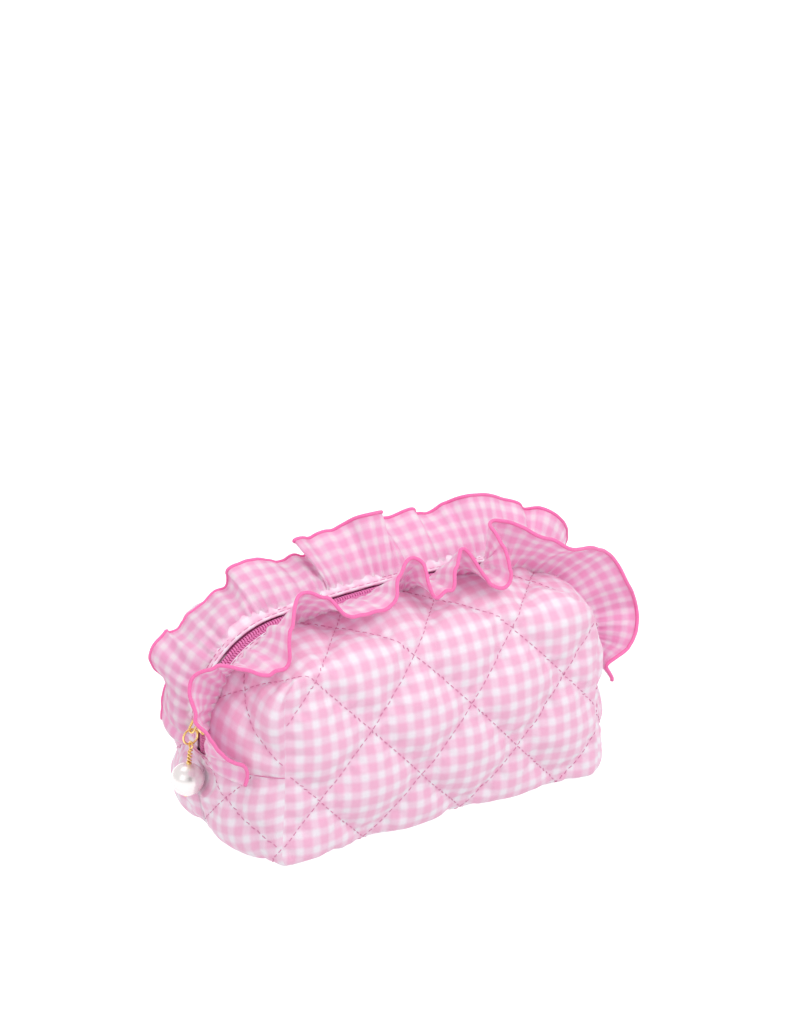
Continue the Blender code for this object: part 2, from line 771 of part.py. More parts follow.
make_tub()
make_fold_bands()
make_halves()
make_zip()
make_ruffles()
make_corner_bindings()
make_end_bindings()
make_slider()
make_charm()
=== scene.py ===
"""Looks of the quilted pouch: gingham cotton, gathered ruffles, coil zip and bead charm.

Shapes are worked out in millimetres and made into meshes in metres. The frame comes
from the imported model: +X along the pouch, front wall at -Y, zip over the top.
"""
import json
import math

import bmesh
import bpy
import numpy as np
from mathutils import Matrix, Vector, noise
from mathutils.bvhtree import BVHTree
from mathutils.kdtree import KDTree


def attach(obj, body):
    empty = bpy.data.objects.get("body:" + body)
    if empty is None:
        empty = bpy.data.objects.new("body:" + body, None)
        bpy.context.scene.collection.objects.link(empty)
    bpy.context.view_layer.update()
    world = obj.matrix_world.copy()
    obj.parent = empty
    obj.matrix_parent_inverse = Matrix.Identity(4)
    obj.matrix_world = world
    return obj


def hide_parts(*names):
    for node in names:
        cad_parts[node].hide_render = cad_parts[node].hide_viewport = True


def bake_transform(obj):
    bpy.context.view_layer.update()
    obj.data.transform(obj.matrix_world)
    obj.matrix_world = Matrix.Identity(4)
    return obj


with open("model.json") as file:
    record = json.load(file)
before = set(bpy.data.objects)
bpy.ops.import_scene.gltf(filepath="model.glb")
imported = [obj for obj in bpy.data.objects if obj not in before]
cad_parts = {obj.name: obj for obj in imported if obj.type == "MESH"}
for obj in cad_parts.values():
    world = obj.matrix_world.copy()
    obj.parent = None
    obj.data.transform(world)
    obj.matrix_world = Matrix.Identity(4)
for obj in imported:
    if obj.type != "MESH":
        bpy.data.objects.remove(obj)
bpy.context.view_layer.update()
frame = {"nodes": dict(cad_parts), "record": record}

MM = 0.001
SIDES = {"front": -1.0, "back": 1.0}

# Stuffed outline, close to the solid model's.
CORNER_X = 82.8
CORNER_Y = 46.0
CORNER_Z = 88.0
CORNER_RADIUS = 11.0
CORNER_PINCH = 2.2          # the upright seams draw in this much above the feet
FLOOR_GAP = 0.55            # lowest height of the cover's finished surface
FOOT_RADIUS = 10.0
WALL_BULGE = 5.5
BULGE_HEIGHT = 45.0
SEAM_Z = 40.0
SEAM_RISE = 3.6             # the end seam climbs this much towards the corners
ZIP_ARC_X = 52.0
ZIP_ARC_Z = 50.0
ZIP_RADIUS = 42.0
FACE_OVER_COIL = 1.2
ARCH_START = 57.0
ARCH_RISE = 3.2
ZIP_TAIL = 4.0              # tape and coil run this far on, inside the end seam
ZIP_EDGE = 5.2              # the quilted cloth stops here, from the middle of the zip
GATHER_LINE = 8.3           # ruffle's gathering stitch

# Quilting and check.
QUILT_ACROSS = 50.5
QUILT_UP = 56.0
QUILT_S0 = 10.8
QUILT_T0 = 57.0
CHECK = 7.5                 # one repeat of the check, a dark and a light stripe

LINE_GAP = 1.0 / math.hypot(1 / QUILT_ACROSS, 1 / QUILT_UP)


def smooth(x):
    """Smoothstep of a value held between 0 and 1."""
    x = min(1.0, max(0.0, x))
    return x * x * (3 - 2 * x)


# ---------------------------------------------------------------- mesh helpers

def new_mesh(name, points, faces, uvs=None, smooth_shade=True):
    """Object from points in millimetres, faces, and optional per-corner UVs."""
    mesh = bpy.data.meshes.new(name)
    mesh.from_pydata([Vector(p) * MM for p in points], [], faces)
    if uvs is not None:
        layer = mesh.uv_layers.new(name="cloth")
        flat = [c for face in uvs for corner in face for c in corner]
        layer.data.foreach_set("uv", flat)
    if smooth_shade:
        mesh.polygons.foreach_set("use_smooth", [True] * len(mesh.polygons))
    mesh.update()
    made = bpy.data.objects.new(name, mesh)
    bpy.context.scene.collection.objects.link(made)
    return made


def repair(made, fill=False, weld=False):
    """Close open ends or join doubled points, and turn every face outwards."""
    bm = bmesh.new()
    bm.from_mesh(made.data)
    if weld:
        bmesh.ops.remove_doubles(bm, verts=bm.verts, dist=1e-7)
    if fill:
        bmesh.ops.holes_fill(bm, edges=[e for e in bm.edges if e.is_boundary], sides=0)
    bmesh.ops.recalc_face_normals(bm, faces=bm.faces)
    bm.to_mesh(made.data)
    bm.free()
    return made


def grid_object(name, rows, uv_rows=None, closed=False):
    """Sheet from rows of points; closed joins each row's ends."""
    across = len(rows[0])
    points = [p for row in rows for p in row]
    faces, uvs = [], []
    span = across if closed else across - 1
    for i in range(len(rows) - 1):
        for j in range(span):
            k = (j + 1) % across
            faces.append((i * across + j, i * across + k,
                          (i + 1) * across + k, (i + 1) * across + j))
            if uv_rows:
                nxt = j + 1
                uvs.append((uv_rows[i][j], uv_rows[i][nxt],
                            uv_rows[i + 1][nxt], uv_rows[i + 1][j]))
    return new_mesh(name, points, faces, uvs if uv_rows else None)


def tube_rows(points, radius, sides=8, closed=False):
    """Rings of points round a path, with a frame carried along it."""
    path = [Vector(p) for p in points]
    count = len(path)
    rows = []
    across = None
    for i, p in enumerate(path):
        if closed:
            run = path[(i + 1) % count] - path[i - 1]
        else:
            run = path[min(i + 1, count - 1)] - path[max(i - 1, 0)]
        run.normalize()
        if across is None:
            across = run.orthogonal().normalized()
        across = (across - run * across.dot(run)).normalized()
        other = run.cross(across)
        r = radius[i] if isinstance(radius, (list, tuple)) else radius
        rows.append([p + (across * math.cos(2 * math.pi * k / sides)
                          + other * math.sin(2 * math.pi * k / sides)) * r
                     for k in range(sides)])
    return rows


def tube(name, points, radius, sides=8, closed=False):
    """Round cord mesh with capped ends and UVs in millimetres."""
    rows = tube_rows(points, radius, sides, closed)
    if closed:
        rows.append(rows[0])
    reach = 0.0
    uv_rows = []
    for i, row in enumerate(rows):
        if i:
            reach += (Vector(points[i % len(points)]) - Vector(points[i - 1])).length
        uv_rows.append([(reach, 6.0 * k / sides) for k in range(sides + 1)])
    made = grid_object(name, rows, uv_rows, closed=True)
    return repair(made, fill=not closed, weld=closed)


def spline(points, step):
    """Catmull-Rom curve through points, with even steps."""
    pts = [Vector(p) for p in points]
    dense = []
    for i in range(len(pts) - 1):
        a = pts[max(i - 1, 0)]
        b, c = pts[i], pts[i + 1]
        d = pts[min(i + 2, len(pts) - 1)]
        for k in range(12):
            t = k / 12
            dense.append(0.5 * ((2 * b) + (c - a) * t + (2 * a - 5 * b + 4 * c - d) * t * t
                                + (3 * b - a - 3 * c + d) * t ** 3))
    dense.append(pts[-1])
    return even_steps(dense, step)


def even_steps(points, step):
    """The same polyline with points a fixed distance apart."""
    reach = [0.0]
    for a, b in zip(points, points[1:]):
        reach.append(reach[-1] + (b - a).length)
    count = max(2, round(reach[-1] / step) + 1)
    out = []
    k = 0
    for i in range(count):
        want = reach[-1] * i / (count - 1)
        while k < len(points) - 2 and reach[k + 1] < want:
            k += 1
        span = reach[k + 1] - reach[k]
        out.append(points[k].lerp(points[k + 1], (want - reach[k]) / span if span else 0))
    return out


# ---------------------------------------------------------------- zip line

def make_zip_line():
    """Dense (x, z) line of the cloth face over the zip, with arc length from its apex."""
    radius = ZIP_RADIUS + FACE_OVER_COIL
    top = math.acos((ARCH_START - ZIP_ARC_X) / ZIP_RADIUS)
    foot = SEAM_Z - ZIP_TAIL - 1
    points = [(ZIP_ARC_X + radius, foot + 0.5 * i) for i in range(int(2 * (ZIP_ARC_Z - foot)))]
    points += [(ZIP_ARC_X + radius * math.cos(top * i / 120),
                ZIP_ARC_Z + radius * math.sin(top * i / 120)) for i in range(121)]
    shoulder, height = points[-1]
    for i in range(1, 61):
        x = shoulder * (1 - i / 60)
        points.append((x, height + ARCH_RISE * (1 - (x / shoulder) ** 2)))
    half = np.array(points[::-1])
    steps = np.hypot(*np.diff(half, axis=0).T)
    reach = np.concatenate([[0], np.cumsum(steps)])
    return half, reach


ZIP_HALF, ZIP_REACH = make_zip_line()
ZIP_END = float(np.interp(-SEAM_Z, -ZIP_HALF[:, 1], ZIP_REACH))


def on_zip(sigma, out=0.0, y=0.0):
    """Point at an arc length from the apex, an offset outwards and across."""
    reach = min(abs(sigma), ZIP_REACH[-1])
    x = np.interp(reach, ZIP_REACH, ZIP_HALF[:, 0])
    z = np.interp(reach, ZIP_REACH, ZIP_HALF[:, 1])
    ahead = min(reach + 0.5, ZIP_REACH[-1])
    behind = max(reach - 0.5, 0.0)
    run_x, run_z = (np.interp(ahead, ZIP_REACH, ZIP_HALF[:, n])
                    - np.interp(behind, ZIP_REACH, ZIP_HALF[:, n]) for n in (0, 1))
    size = math.hypot(run_x, run_z)
    normal_x, normal_z = -run_z / size, run_x / size
    sign = 1.0 if sigma >= 0 else -1.0
    return Vector((sign * (x + normal_x * out), y, z + normal_z * out))


# ---------------------------------------------------------------- quilted pouch

CELLS_X = 78
CELLS_Y = 21
CELLS_LOW = 18
CELLS_HIGH = 24
CELLS_Z = CELLS_LOW + CELLS_HIGH


def round_corner(along, up, half, top, radius):
    """Concentric map of a square corner to a round one, in one section."""
    over_x = abs(along) - (half - radius)
    over_z = up - (top - radius)
    if over_x <= 0 or over_z <= 0:
        return along, up
    reach = max(over_x, over_z) / math.hypot(over_x, over_z)
    return math.copysign(half - radius + over_x * reach, along), top - radius + over_z * reach


def pouch_point(i, j, k, depth=0.0):
    """Surface point for whole-number places on the divided box, in the front half."""
    u = 2 * i / CELLS_X - 1
    v = -1 + (1 - ZIP_EDGE / CORNER_Y) * j / (CELLS_Y - 1) if j < CELLS_Y else 0.0
    crown = 1 - v * v
    face = ZIP_RADIUS + FACE_OVER_COIL
    half = CORNER_X + (ZIP_ARC_X + face - CORNER_X) * crown - depth
    top = CORNER_Z + (ZIP_ARC_Z + face - CORNER_Z) * crown - depth
    radius = CORNER_RADIUS + (face - CORNER_RADIUS) * crown ** 0.6 - depth
    seam = SEAM_Z + SEAM_RISE * v * v
    if k <= CELLS_LOW:
        z = depth + (seam - depth) * k / CELLS_LOW
    else:
        z = seam + (top - seam) * (k - CELLS_LOW) / CELLS_HIGH
    half -= CORNER_PINCH * (1 - crown) * smooth(z / SEAM_Z)
    x = u * half
    x, z = round_corner(x, z, half, top, radius)
    foot = FOOT_RADIUS * (1 - 0.4 * v * v) - 0.5 * depth
    x, down = round_corner(x, -z, half, -depth, foot)
    z = -down
    rise = max(0.0, 1 - (x / ARCH_START) ** 2) * smooth((z - SEAM_Z) / 40)
    z += ARCH_RISE * rise
    near_end = smooth((abs(x) / half - 0.8) / 0.2)
    belly = 2.4 * math.exp(-((z - 23) / 12) ** 2) - 2.2 * math.exp(-((z - seam) / 3.5) ** 2)
    x += math.copysign(near_end * belly * crown ** 0.5, x)
    bulge = WALL_BULGE * (1 - 2 * ((z - BULGE_HEIGHT) / BULGE_HEIGHT) ** 2)
    y = v * (CORNER_Y + (1 - u * u) * bulge - depth)
    return Vector((x, y, z))


def pouch_cells():
    """Quads of the front half as corner places, each with the name of its panel."""
    cells = []
    nx, ny, nz = CELLS_X, CELLS_Y, CELLS_Z
    for i in range(nx):
        for k in range(nz):
            cells.append(("front", [(i, 0, k), (i + 1, 0, k), (i + 1, 0, k + 1), (i, 0, k + 1)]))
        for j in range(ny):
            if j < ny - 1:
                cells.append(("upper", [(i, j, nz), (i + 1, j, nz), (i + 1, j + 1, nz),
                                        (i, j + 1, nz)]))
            cells.append(("lower", [(i, j + 1, 0), (i + 1, j + 1, 0), (i + 1, j, 0), (i, j, 0)]))
    for j in range(ny):
        for k in range(nz):
            panel = "lower" if k < CELLS_LOW else "upper"
            if panel == "upper" and j == ny - 1:
                continue
            right = [(nx, j, k), (nx, j + 1, k), (nx, j + 1, k + 1), (nx, j, k + 1)]
            cells.append((panel, right))
            left = [(0, j + 1, k), (0, j, k), (0, j, k + 1), (0, j + 1, k + 1)]
            cells.append((panel, left))
    return cells


def running(points):
    """Cumulative length along a list of points."""
    out = [0.0]
    for a, b in zip(points, points[1:]):
        out.append(out[-1] + (b - a).length)
    return out


def cloth_coordinates(place):
    """Flat coordinates (s along, t round) of every place, for each panel."""
    nx, ny, nz = CELLS_X, CELLS_Y, CELLS_Z
    mid = nx // 2
    flat = {"front": {}, "upper": {}, "lower": {}}
    up_edge = {}
    low_edge = {}
    for i in range(nx + 1):
        reach = running([place[i, 0, k] for k in range(nz + 1)])
        base = place[i, 0, CELLS_LOW].z - reach[CELLS_LOW]
        for k in range(nz + 1):
            flat["front"][i, 0, k] = [0.0, base + reach[k]]
        up_edge[i] = base + reach[nz]
        low_edge[i] = base
    for k in range(nz + 1):
        for sign in (-1, 1):
            cols = [mid + sign * n for n in range(mid + 1)]
            for i, s in zip(cols, running([place[i, 0, k] for i in cols])):
                flat["front"][i, 0, k][0] = sign * s
    for panel, level, edge, way in (("upper", nz, up_edge, 1), ("lower", 0, low_edge, -1)):
        last_j = ny - 1 if panel == "upper" else ny
        for i in range(nx + 1):
            reach = running([place[i, j, level] for j in range(last_j + 1)])
            for j in range(last_j + 1):
                flat[panel][i, j, level] = [0.0, edge[i] + way * reach[j]]
        levels = (range(nz - 1, CELLS_LOW - 1, -1) if panel == "upper"
                  else range(1, CELLS_LOW + 1))
        for j in range(last_j + 1):
            for sign in (-1, 1):
                end = nx if sign > 0 else 0
                keys = [(mid + sign * n, j, level) for n in range(mid + 1)]
                keys += [(end, j, k) for k in levels]
                reach = running([place[key] for key in keys])
                for key, s in zip(keys, reach):
                    t = flat[panel][end, j, level][1]
                    if key in flat[panel]:
                        flat[panel][key][0] = sign * s
                    else:
                        flat[panel][key] = [sign * s, t]
    return flat


def quilt_lines(s, t):
    """Lattice coordinates; a stitch line runs wherever either is a whole number."""
    a = (s - QUILT_S0) / QUILT_ACROSS + (t - QUILT_T0) / QUILT_UP
    b = (s - QUILT_S0) / QUILT_ACROSS - (t - QUILT_T0) / QUILT_UP
    return a, b


def off_line(value):
    """Signed distance in millimetres from the nearest line of one family."""
    return (value - round(value)) * LINE_GAP


BOTTOM_T = -50.0            # cloth coordinate of the middle of the bottom


def quilt_t(side, t):
    """The quilting runs on under the bottom to the back."""
    return t if side == "front" else 2 * BOTTOM_T - t


SEWN_WITHIN = 0.06          # a point this near a stitch line is held by the stitching
SNAP_WITHIN = 0.95          # a point this near is first moved onto the line


def quilted_half(side):
    """One half of the quilted cover: places, cloth coordinates and what is sewn down."""
    sign = SIDES[side]
    cells = pouch_cells()
    keys = sorted({key for _, corners in cells for key in corners})
    place = {key: pouch_point(*key) for key in keys}
    flat = cloth_coordinates(place)
    neighbours = {"front": {}, "upper": {}, "lower": {}}
    for panel, corners in cells:
        for n in range(4):
            a, b = corners[n], corners[(n + 1) % 4]
            neighbours[panel].setdefault(a, set()).add(b)
            neighbours[panel].setdefault(b, set()).add(a)
    seams = set()
    nx, nz = CELLS_X, CELLS_Z
    for key in keys:
        i, j, k = key
        at_end = i in (0, nx)
        if (at_end and j == 0) or (at_end and k == CELLS_LOW):
            seams.add(key)
        if j == CELLS_Y - 1 and (k == nz or (at_end and k >= CELLS_LOW)):
            seams.add(key)
    middle = {key for key in keys if key[1] == CELLS_Y}
    fixed = seams | middle
    free = {p: {k: v for k, v in c.items() if k not in fixed} for p, c in flat.items()}
    held = {p: {k: [n for n in s if n in flat[p]] for k, s in d.items()}
            for p, d in neighbours.items()}
    snapped = {}
    for panel in free:
        snapped.update(snap_panel(side, place, flat[panel], free[panel], held[panel]))
    for key, (shift, step) in snapped.items():
        place[key] = place[key] + step
        for coords in flat.values():
            if key in coords:
                coords[key] = [coords[key][0] + shift.x, coords[key][1] + shift.y]
    sewn = set(fixed)
    for panel, coords in free.items():
        for key in coords:
            s, t = flat[panel][key]
            a, b = quilt_lines(s, quilt_t(side, t))
            if min(abs(off_line(a)), abs(off_line(b))) < SEWN_WITHIN:
                sewn.add(key)
    for key in keys:
        place[key].y *= -sign
    return cells, keys, place, flat, seams, sewn


def snap_panel(side, place, coords, free, held):
    """Shifts that put the places near a stitch line onto it, for one panel."""
    norm = Vector((1 / QUILT_ACROSS, 1 / QUILT_UP)).normalized()
    flip = 1.0 if side == "front" else -1.0
    out = {}
    for key, (s, t) in free.items():
        a, b = quilt_lines(s, quilt_t(side, t))
        da, db = off_line(a), off_line(b)
        shift = Vector((0.0, 0.0))
        if abs(da) < SNAP_WITHIN:
            shift -= Vector((norm.x, flip * norm.y)) * da
        if abs(db) < SNAP_WITHIN:
            shift -= Vector((norm.x, -flip * norm.y)) * db
        if shift.length < 1e-6:
            continue
        rows = []
        ends = []
        for other in held.get(key, ()):
            rows.append((coords[other][0] - s, coords[other][1] - t))
            ends.append(place[other] - place[key])
        if len(rows) < 3:
            continue
        plane = np.linalg.lstsq(np.array(rows), np.array(ends), rcond=None)[0]
        out[key] = (shift, Vector(shift.x * plane[0] + shift.y * plane[1]))
    return out


SIM_SCALE = 10.0            # the cloth is simulated ten times as large
SIM_FRAMES = 18
PUFF = 5.4                  # height of a full cushion of wadding
PUFF_BEFORE = 0.55          # share of it given before the simulation
SEAM_REACH = 4.0            # the puffing dies away this near a seam
MOST_SWELL = 7.5
SWELL_FLOOR = 0.35          # lowest height allowed straight after the simulation


def puff_height(side, panel_t, s, seam_distance):
    """How far the wadding lifts the cover between stitch lines, in millimetres."""
    a, b = quilt_lines(s, quilt_t(side, panel_t))
    lift = abs(math.sin(math.pi * a)) * abs(math.sin(math.pi * b))
    own = 0.85 + 0.3 * noise.noise(Vector((math.floor(a) * 3.1, math.floor(b) * 5.7, 1.3)))
    return PUFF * own * lift ** 0.55 * (1 - math.exp(-(seam_distance / SEAM_REACH) ** 2))


def build_quilt(side):
    """Quilted cover of one half, puffed by a cloth simulation held at its stitches."""
    cells, keys, place, flat, seams, sewn = quilted_half(side)
    order = {key: n for n, key in enumerate(keys)}
    faces = []
    uvs = []
    flip = side == "back"
    for panel, corners in cells:
        turn = list(reversed(corners)) if flip else corners
        faces.append(tuple(order[c] for c in turn))
        uvs.append([(flat[panel][c][0] / CHECK, quilt_t(side, flat[panel][c][1]) / CHECK)
                    for c in turn])
    quilt = new_mesh(side + "_quilt", [place[k] for k in keys], faces, uvs)
    tree = KDTree(len(seams))
    for n, key in enumerate(sorted(seams)):
        tree.insert(place[key], n)
    tree.balance()
    lift = []
    for key in keys:
        if key in sewn:
            lift.append(0.0)
            continue
        panel = next(p for p in ("front", "upper", "lower") if key in flat[p])
        s, t = flat[panel][key]
        lift.append(puff_height(side, t, s, tree.find(place[key])[2]))
    start = [place[k].copy() for k in keys]
    normals = [v.normal.copy() for v in quilt.data.vertices]
    for vertex, base, up, by in zip(quilt.data.vertices, start, normals, lift):
        vertex.co = (base + up * by * PUFF_BEFORE) * MM
    inflate(quilt, [order[k] for k in sorted(sewn)])
    limit_swell(quilt, start, MOST_SWELL)
    for vertex in quilt.data.vertices:
        vertex.co.z = max(vertex.co.z, SWELL_FLOOR * MM)
    subdivide(quilt, 1)
    pucker(quilt)
    return quilt


PEARL_ROOM = 8.9            # the cover stays this far from the bead's middle
SWING = 28.0                # degrees the bead can swing to each side, with a little spare


def clear_of_bead(point):
    """The point, pushed out of the ring-shaped path the bead swings through."""
    hang = CHARM_PIVOT - PEARL_CENTRE
    arm = point - CHARM_PIVOT
    turn = math.degrees(math.atan2(arm.y, -arm.z))
    turn = math.radians(max(-SWING, min(SWING, turn)))
    bead = CHARM_PIVOT + Vector((-hang.x, math.sin(turn) * hang.z, -math.cos(turn) * hang.z))
    away = point - bead
    if away.length < PEARL_ROOM:
        return bead + away.normalized() * PEARL_ROOM
    return point


CREASE_REACH = 6.5          # creases fade this far from a stitch line
CREASE_START = 1.6
CREASE_HEIGHT = 1.15
RUMPLE = 0.55               # slower unevenness all over


def pucker(quilt):
    """Small creases that run out of the stitching, and room for the hanging bead."""
    mesh = quilt.data
    layer = mesh.uv_layers["cloth"].data
    cloth = {}
    for face in mesh.polygons:
        for loop in face.loop_indices:
            uv = layer[loop].uv
            cloth[mesh.loops[loop].vertex_index] = (uv[0] * CHECK, uv[1] * CHECK)
    rises = []
    for vertex in mesh.vertices:
        s, t = cloth[vertex.index]
        a, b = quilt_lines(s, t)
        rise = 0.0
        for gap, along in ((off_line(a), b), (off_line(b), a)):
            near = math.exp(-(gap / CREASE_REACH) ** 2)
            near *= 1 - math.exp(-(gap / CREASE_START) ** 2)
            place = Vector((along * LINE_GAP / 3.1, math.copysign(7.0, gap), 0.06 * gap))
            rise += CREASE_HEIGHT * noise.noise(place) * near
        rise += RUMPLE * noise.noise(Vector((s / 11, t / 8, 2.0)))
        rises.append(rise)
    normals = [vertex.normal.copy() for vertex in mesh.vertices]
    for vertex, up, rise in zip(mesh.vertices, normals, rises):
        vertex.co += up * rise * MM
        vertex.co = clear_of_bead(vertex.co / MM) * MM
        vertex.co.z = max(vertex.co.z, FLOOR_GAP * MM)


def inflate(quilt, sewn):
    """Blow the cover up against its stitches with cloth a little too large for them."""
    mesh = quilt.data
    for vertex in mesh.vertices:
        vertex.co *= SIM_SCALE
    group = quilt.vertex_groups.new(name="sewn")
    group.add(sewn, 1.0, "REPLACE")
    step = quilt.modifiers.new("cloth", "CLOTH")
    cloth = step.settings
    cloth.quality = 6
    cloth.mass = 0.25
    cloth.tension_stiffness = 18
    cloth.compression_stiffness = 12
    cloth.shear_stiffness = 8
    cloth.bending_stiffness = 0.25
    cloth.vertex_group_mass = "sewn"
    cloth.shrink_min = -0.05
    cloth.use_pressure = True
    cloth.uniform_pressure_force = 9.0
    cloth.effector_weights.gravity = 0.0
    step.collision_settings.use_collision = False
    step.point_cache.frame_start = 1
    step.point_cache.frame_end = SIM_FRAMES + 2
    scene = bpy.context.scene
    for n in range(1, SIM_FRAMES + 1):
        scene.frame_set(n)
    graph = bpy.context.evaluated_depsgraph_get()
    settled = quilt.evaluated_get(graph).data
    found = [v.co.copy() for v in settled.vertices]
    quilt.modifiers.remove(step)
    quilt.vertex_groups.remove(group)
    scene.frame_set(1)
    for vertex, co in zip(mesh.vertices, found):
        vertex.co = co / SIM_SCALE


def limit_swell(quilt, start, most):
    """Hold each point within a distance of where it was sewn flat."""
    for vertex, base in zip(quilt.data.vertices, start):
        out = vertex.co - base * MM
        if out.length > most * MM:
            vertex.co = base * MM + out.normalized() * most * MM


def subdivide(piece, levels):
    """Apply Catmull-Clark subdivision to a piece's mesh."""
    step = piece.modifiers.new("smooth", "SUBSURF")
    step.levels = levels
    step.render_levels = levels
    step.uv_smooth = "NONE"
    step.boundary_smooth = "PRESERVE_CORNERS"
    graph = bpy.context.evaluated_depsgraph_get()
    mesh = bpy.data.meshes.new_from_object(piece.evaluated_get(graph))
    piece.modifiers.remove(step)
    old = piece.data
    piece.data = mesh
    bpy.data.meshes.remove(old)


def thicken(piece, thickness, offset=-1.0):
    """Solidify, left on the piece."""
    step = piece.modifiers.new("thickness", "SOLIDIFY")
    step.thickness = thickness * MM
    step.offset = offset


# ---------------------------------------------------------------- materials

def node(tree, kind, **values):
    """Add a node and set its inputs by name, or its own settings."""
    made = tree.nodes.new(kind)
    for name, value in values.items():
        if name in made.inputs:
            made.inputs[name].default_value = value
        else:
            setattr(made, name, value)
    return made


def maths(tree, operation, a, b=None, clamp=False):
    """Math node on links or numbers."""
    made = tree.nodes.new("ShaderNodeMath")
    made.operation = operation
    made.use_clamp = clamp
    for slot, value in zip(made.inputs, (a, b)):
        if value is None:
            continue
        if isinstance(value, (int, float)):
            slot.default_value = value
        else:
            tree.links.new(value, slot)
    return made.outputs[0]


def mixed(tree, factor, a, b):
    """Colour mix of links or RGBA values."""
    made = tree.nodes.new("ShaderNodeMix")
    made.data_type = "RGBA"
    for slot, value in ((made.inputs[0], factor), (made.inputs[6], a), (made.inputs[7], b)):
        if isinstance(value, (int, float, tuple)):
            slot.default_value = value
        else:
            tree.links.new(value, slot)
    return made.outputs[2]


def shader_base(name, roughness=0.8, metallic=0.0):
    """New material, its node tree and its Principled shader."""
    made = bpy.data.materials.new(name)
    made.use_nodes = True
    tree = made.node_tree
    shader = tree.nodes["Principled BSDF"]
    shader.inputs["Roughness"].default_value = roughness
    shader.inputs["Metallic"].default_value = metallic
    return made, tree, shader


def stripe(tree, coordinate, soft, share=0.56):
    """0 to 1 square wave along a coordinate, one repeat a unit, with soft edges."""
    part = maths(tree, "FRACT", coordinate)
    fold = maths(tree, "ABSOLUTE", maths(tree, "SUBTRACT", part, 0.5))
    edge = maths(tree, "MULTIPLY", maths(tree, "SUBTRACT", share / 2, fold), 1.0 / soft)
    return maths(tree, "ADD", edge, 0.5, clamp=True)


def add_bump(tree, shader, height, strength, distance):
    """Drive the shader's normal from a height."""
    bump = node(tree, "ShaderNodeBump", Strength=strength, Distance=distance)
    tree.links.new(height, bump.inputs["Height"])
    tree.links.new(bump.outputs[0], shader.inputs["Normal"])


def object_noise(tree, scale, detail):
    """Output of a noise texture on the object's own coordinates."""
    cloud = node(tree, "ShaderNodeTexNoise", Scale=scale, Detail=detail)
    place = tree.nodes.new("ShaderNodeTexCoord")
    tree.links.new(place.outputs["Object"], cloud.inputs["Vector"])
    return cloud.outputs[0]


SOFT_EDGE = 0.20            # softness of a stripe's edge, in repeats of the check
YARN = 0.42                 # width of one yarn in millimetres


def gingham(name, pale, mid, deep, sheer=0.0, bump=0.25):
    """Woven check: both yarns pale, one pink, or both pink, with a visible weave."""
    made, tree, shader = shader_base(name, 0.85)
    links = tree.links
    coords = tree.nodes.new("ShaderNodeUVMap")
    coords.uv_map = "cloth"
    wander = node(tree, "ShaderNodeTexNoise", Scale=1.3, Detail=2.0)
    links.new(coords.outputs[0], wander.inputs["Vector"])
    shift = maths(tree, "MULTIPLY", maths(tree, "SUBTRACT", wander.outputs[0], 0.5), 0.10)
    split = tree.nodes.new("ShaderNodeSeparateXYZ")
    links.new(coords.outputs[0], split.inputs[0])
    along = maths(tree, "ADD", split.outputs[0], shift)
    across = maths(tree, "ADD", split.outputs[1], shift)
    warp = stripe(tree, along, SOFT_EDGE)
    weft = stripe(tree, across, SOFT_EDGE)
    threads = CHECK / YARN
    yarn_a = maths(tree, "SINE", maths(tree, "MULTIPLY", split.outputs[0], threads * math.pi))
    yarn_b = maths(tree, "SINE", maths(tree, "MULTIPLY", split.outputs[1], threads * math.pi))
    weave = maths(tree, "MULTIPLY", yarn_a, yarn_b)
    one = mixed(tree, warp, pale, mid)
    two = mixed(tree, warp, mid, deep)
    colour = mixed(tree, weft, one, two)
    slub = node(tree, "ShaderNodeTexNoise", Scale=14.0, Detail=3.0)
    stretch = node(tree, "ShaderNodeMapping")
    stretch.inputs["Scale"].default_value = (0.35, 2.2, 1.0)
    links.new(coords.outputs[0], stretch.inputs[0])
    links.new(stretch.outputs[0], slub.inputs["Vector"])
    shade = maths(tree, "ADD", maths(tree, "MULTIPLY", slub.outputs[0], 0.16), 0.92)
    # painted shade: the weave's raised crossings are made a little lighter and its hollows a little
    # darker
    shade = maths(tree, "ADD", shade, maths(tree, "MULTIPLY", weave, 0.02))
    toned = tree.nodes.new("ShaderNodeHueSaturation")
    links.new(colour, toned.inputs["Color"])
    links.new(shade, toned.inputs["Value"])
    links.new(toned.outputs[0], shader.inputs["Base Color"])
    height = maths(tree, "ADD", maths(tree, "MULTIPLY", weave, 0.5), slub.outputs[0])
    add_bump(tree, shader, height, bump, 0.00025)
    shader.inputs["Sheen Weight"].default_value = 0.25
    shader.inputs["Sheen Roughness"].default_value = 0.5
    shader.inputs["Specular IOR Level"].default_value = 0.2
    if sheer:
        back = tree.nodes.new("ShaderNodeBsdfTranslucent")
        links.new(toned.outputs[0], back.inputs["Color"])
        blend = tree.nodes.new("ShaderNodeMixShader")
        blend.inputs[0].default_value = sheer
        out = tree.nodes["Material Output"]
        links.new(shader.outputs[0], blend.inputs[1])
        links.new(back.outputs[0], blend.inputs[2])
        links.new(blend.outputs[0], out.inputs["Surface"])
    return made


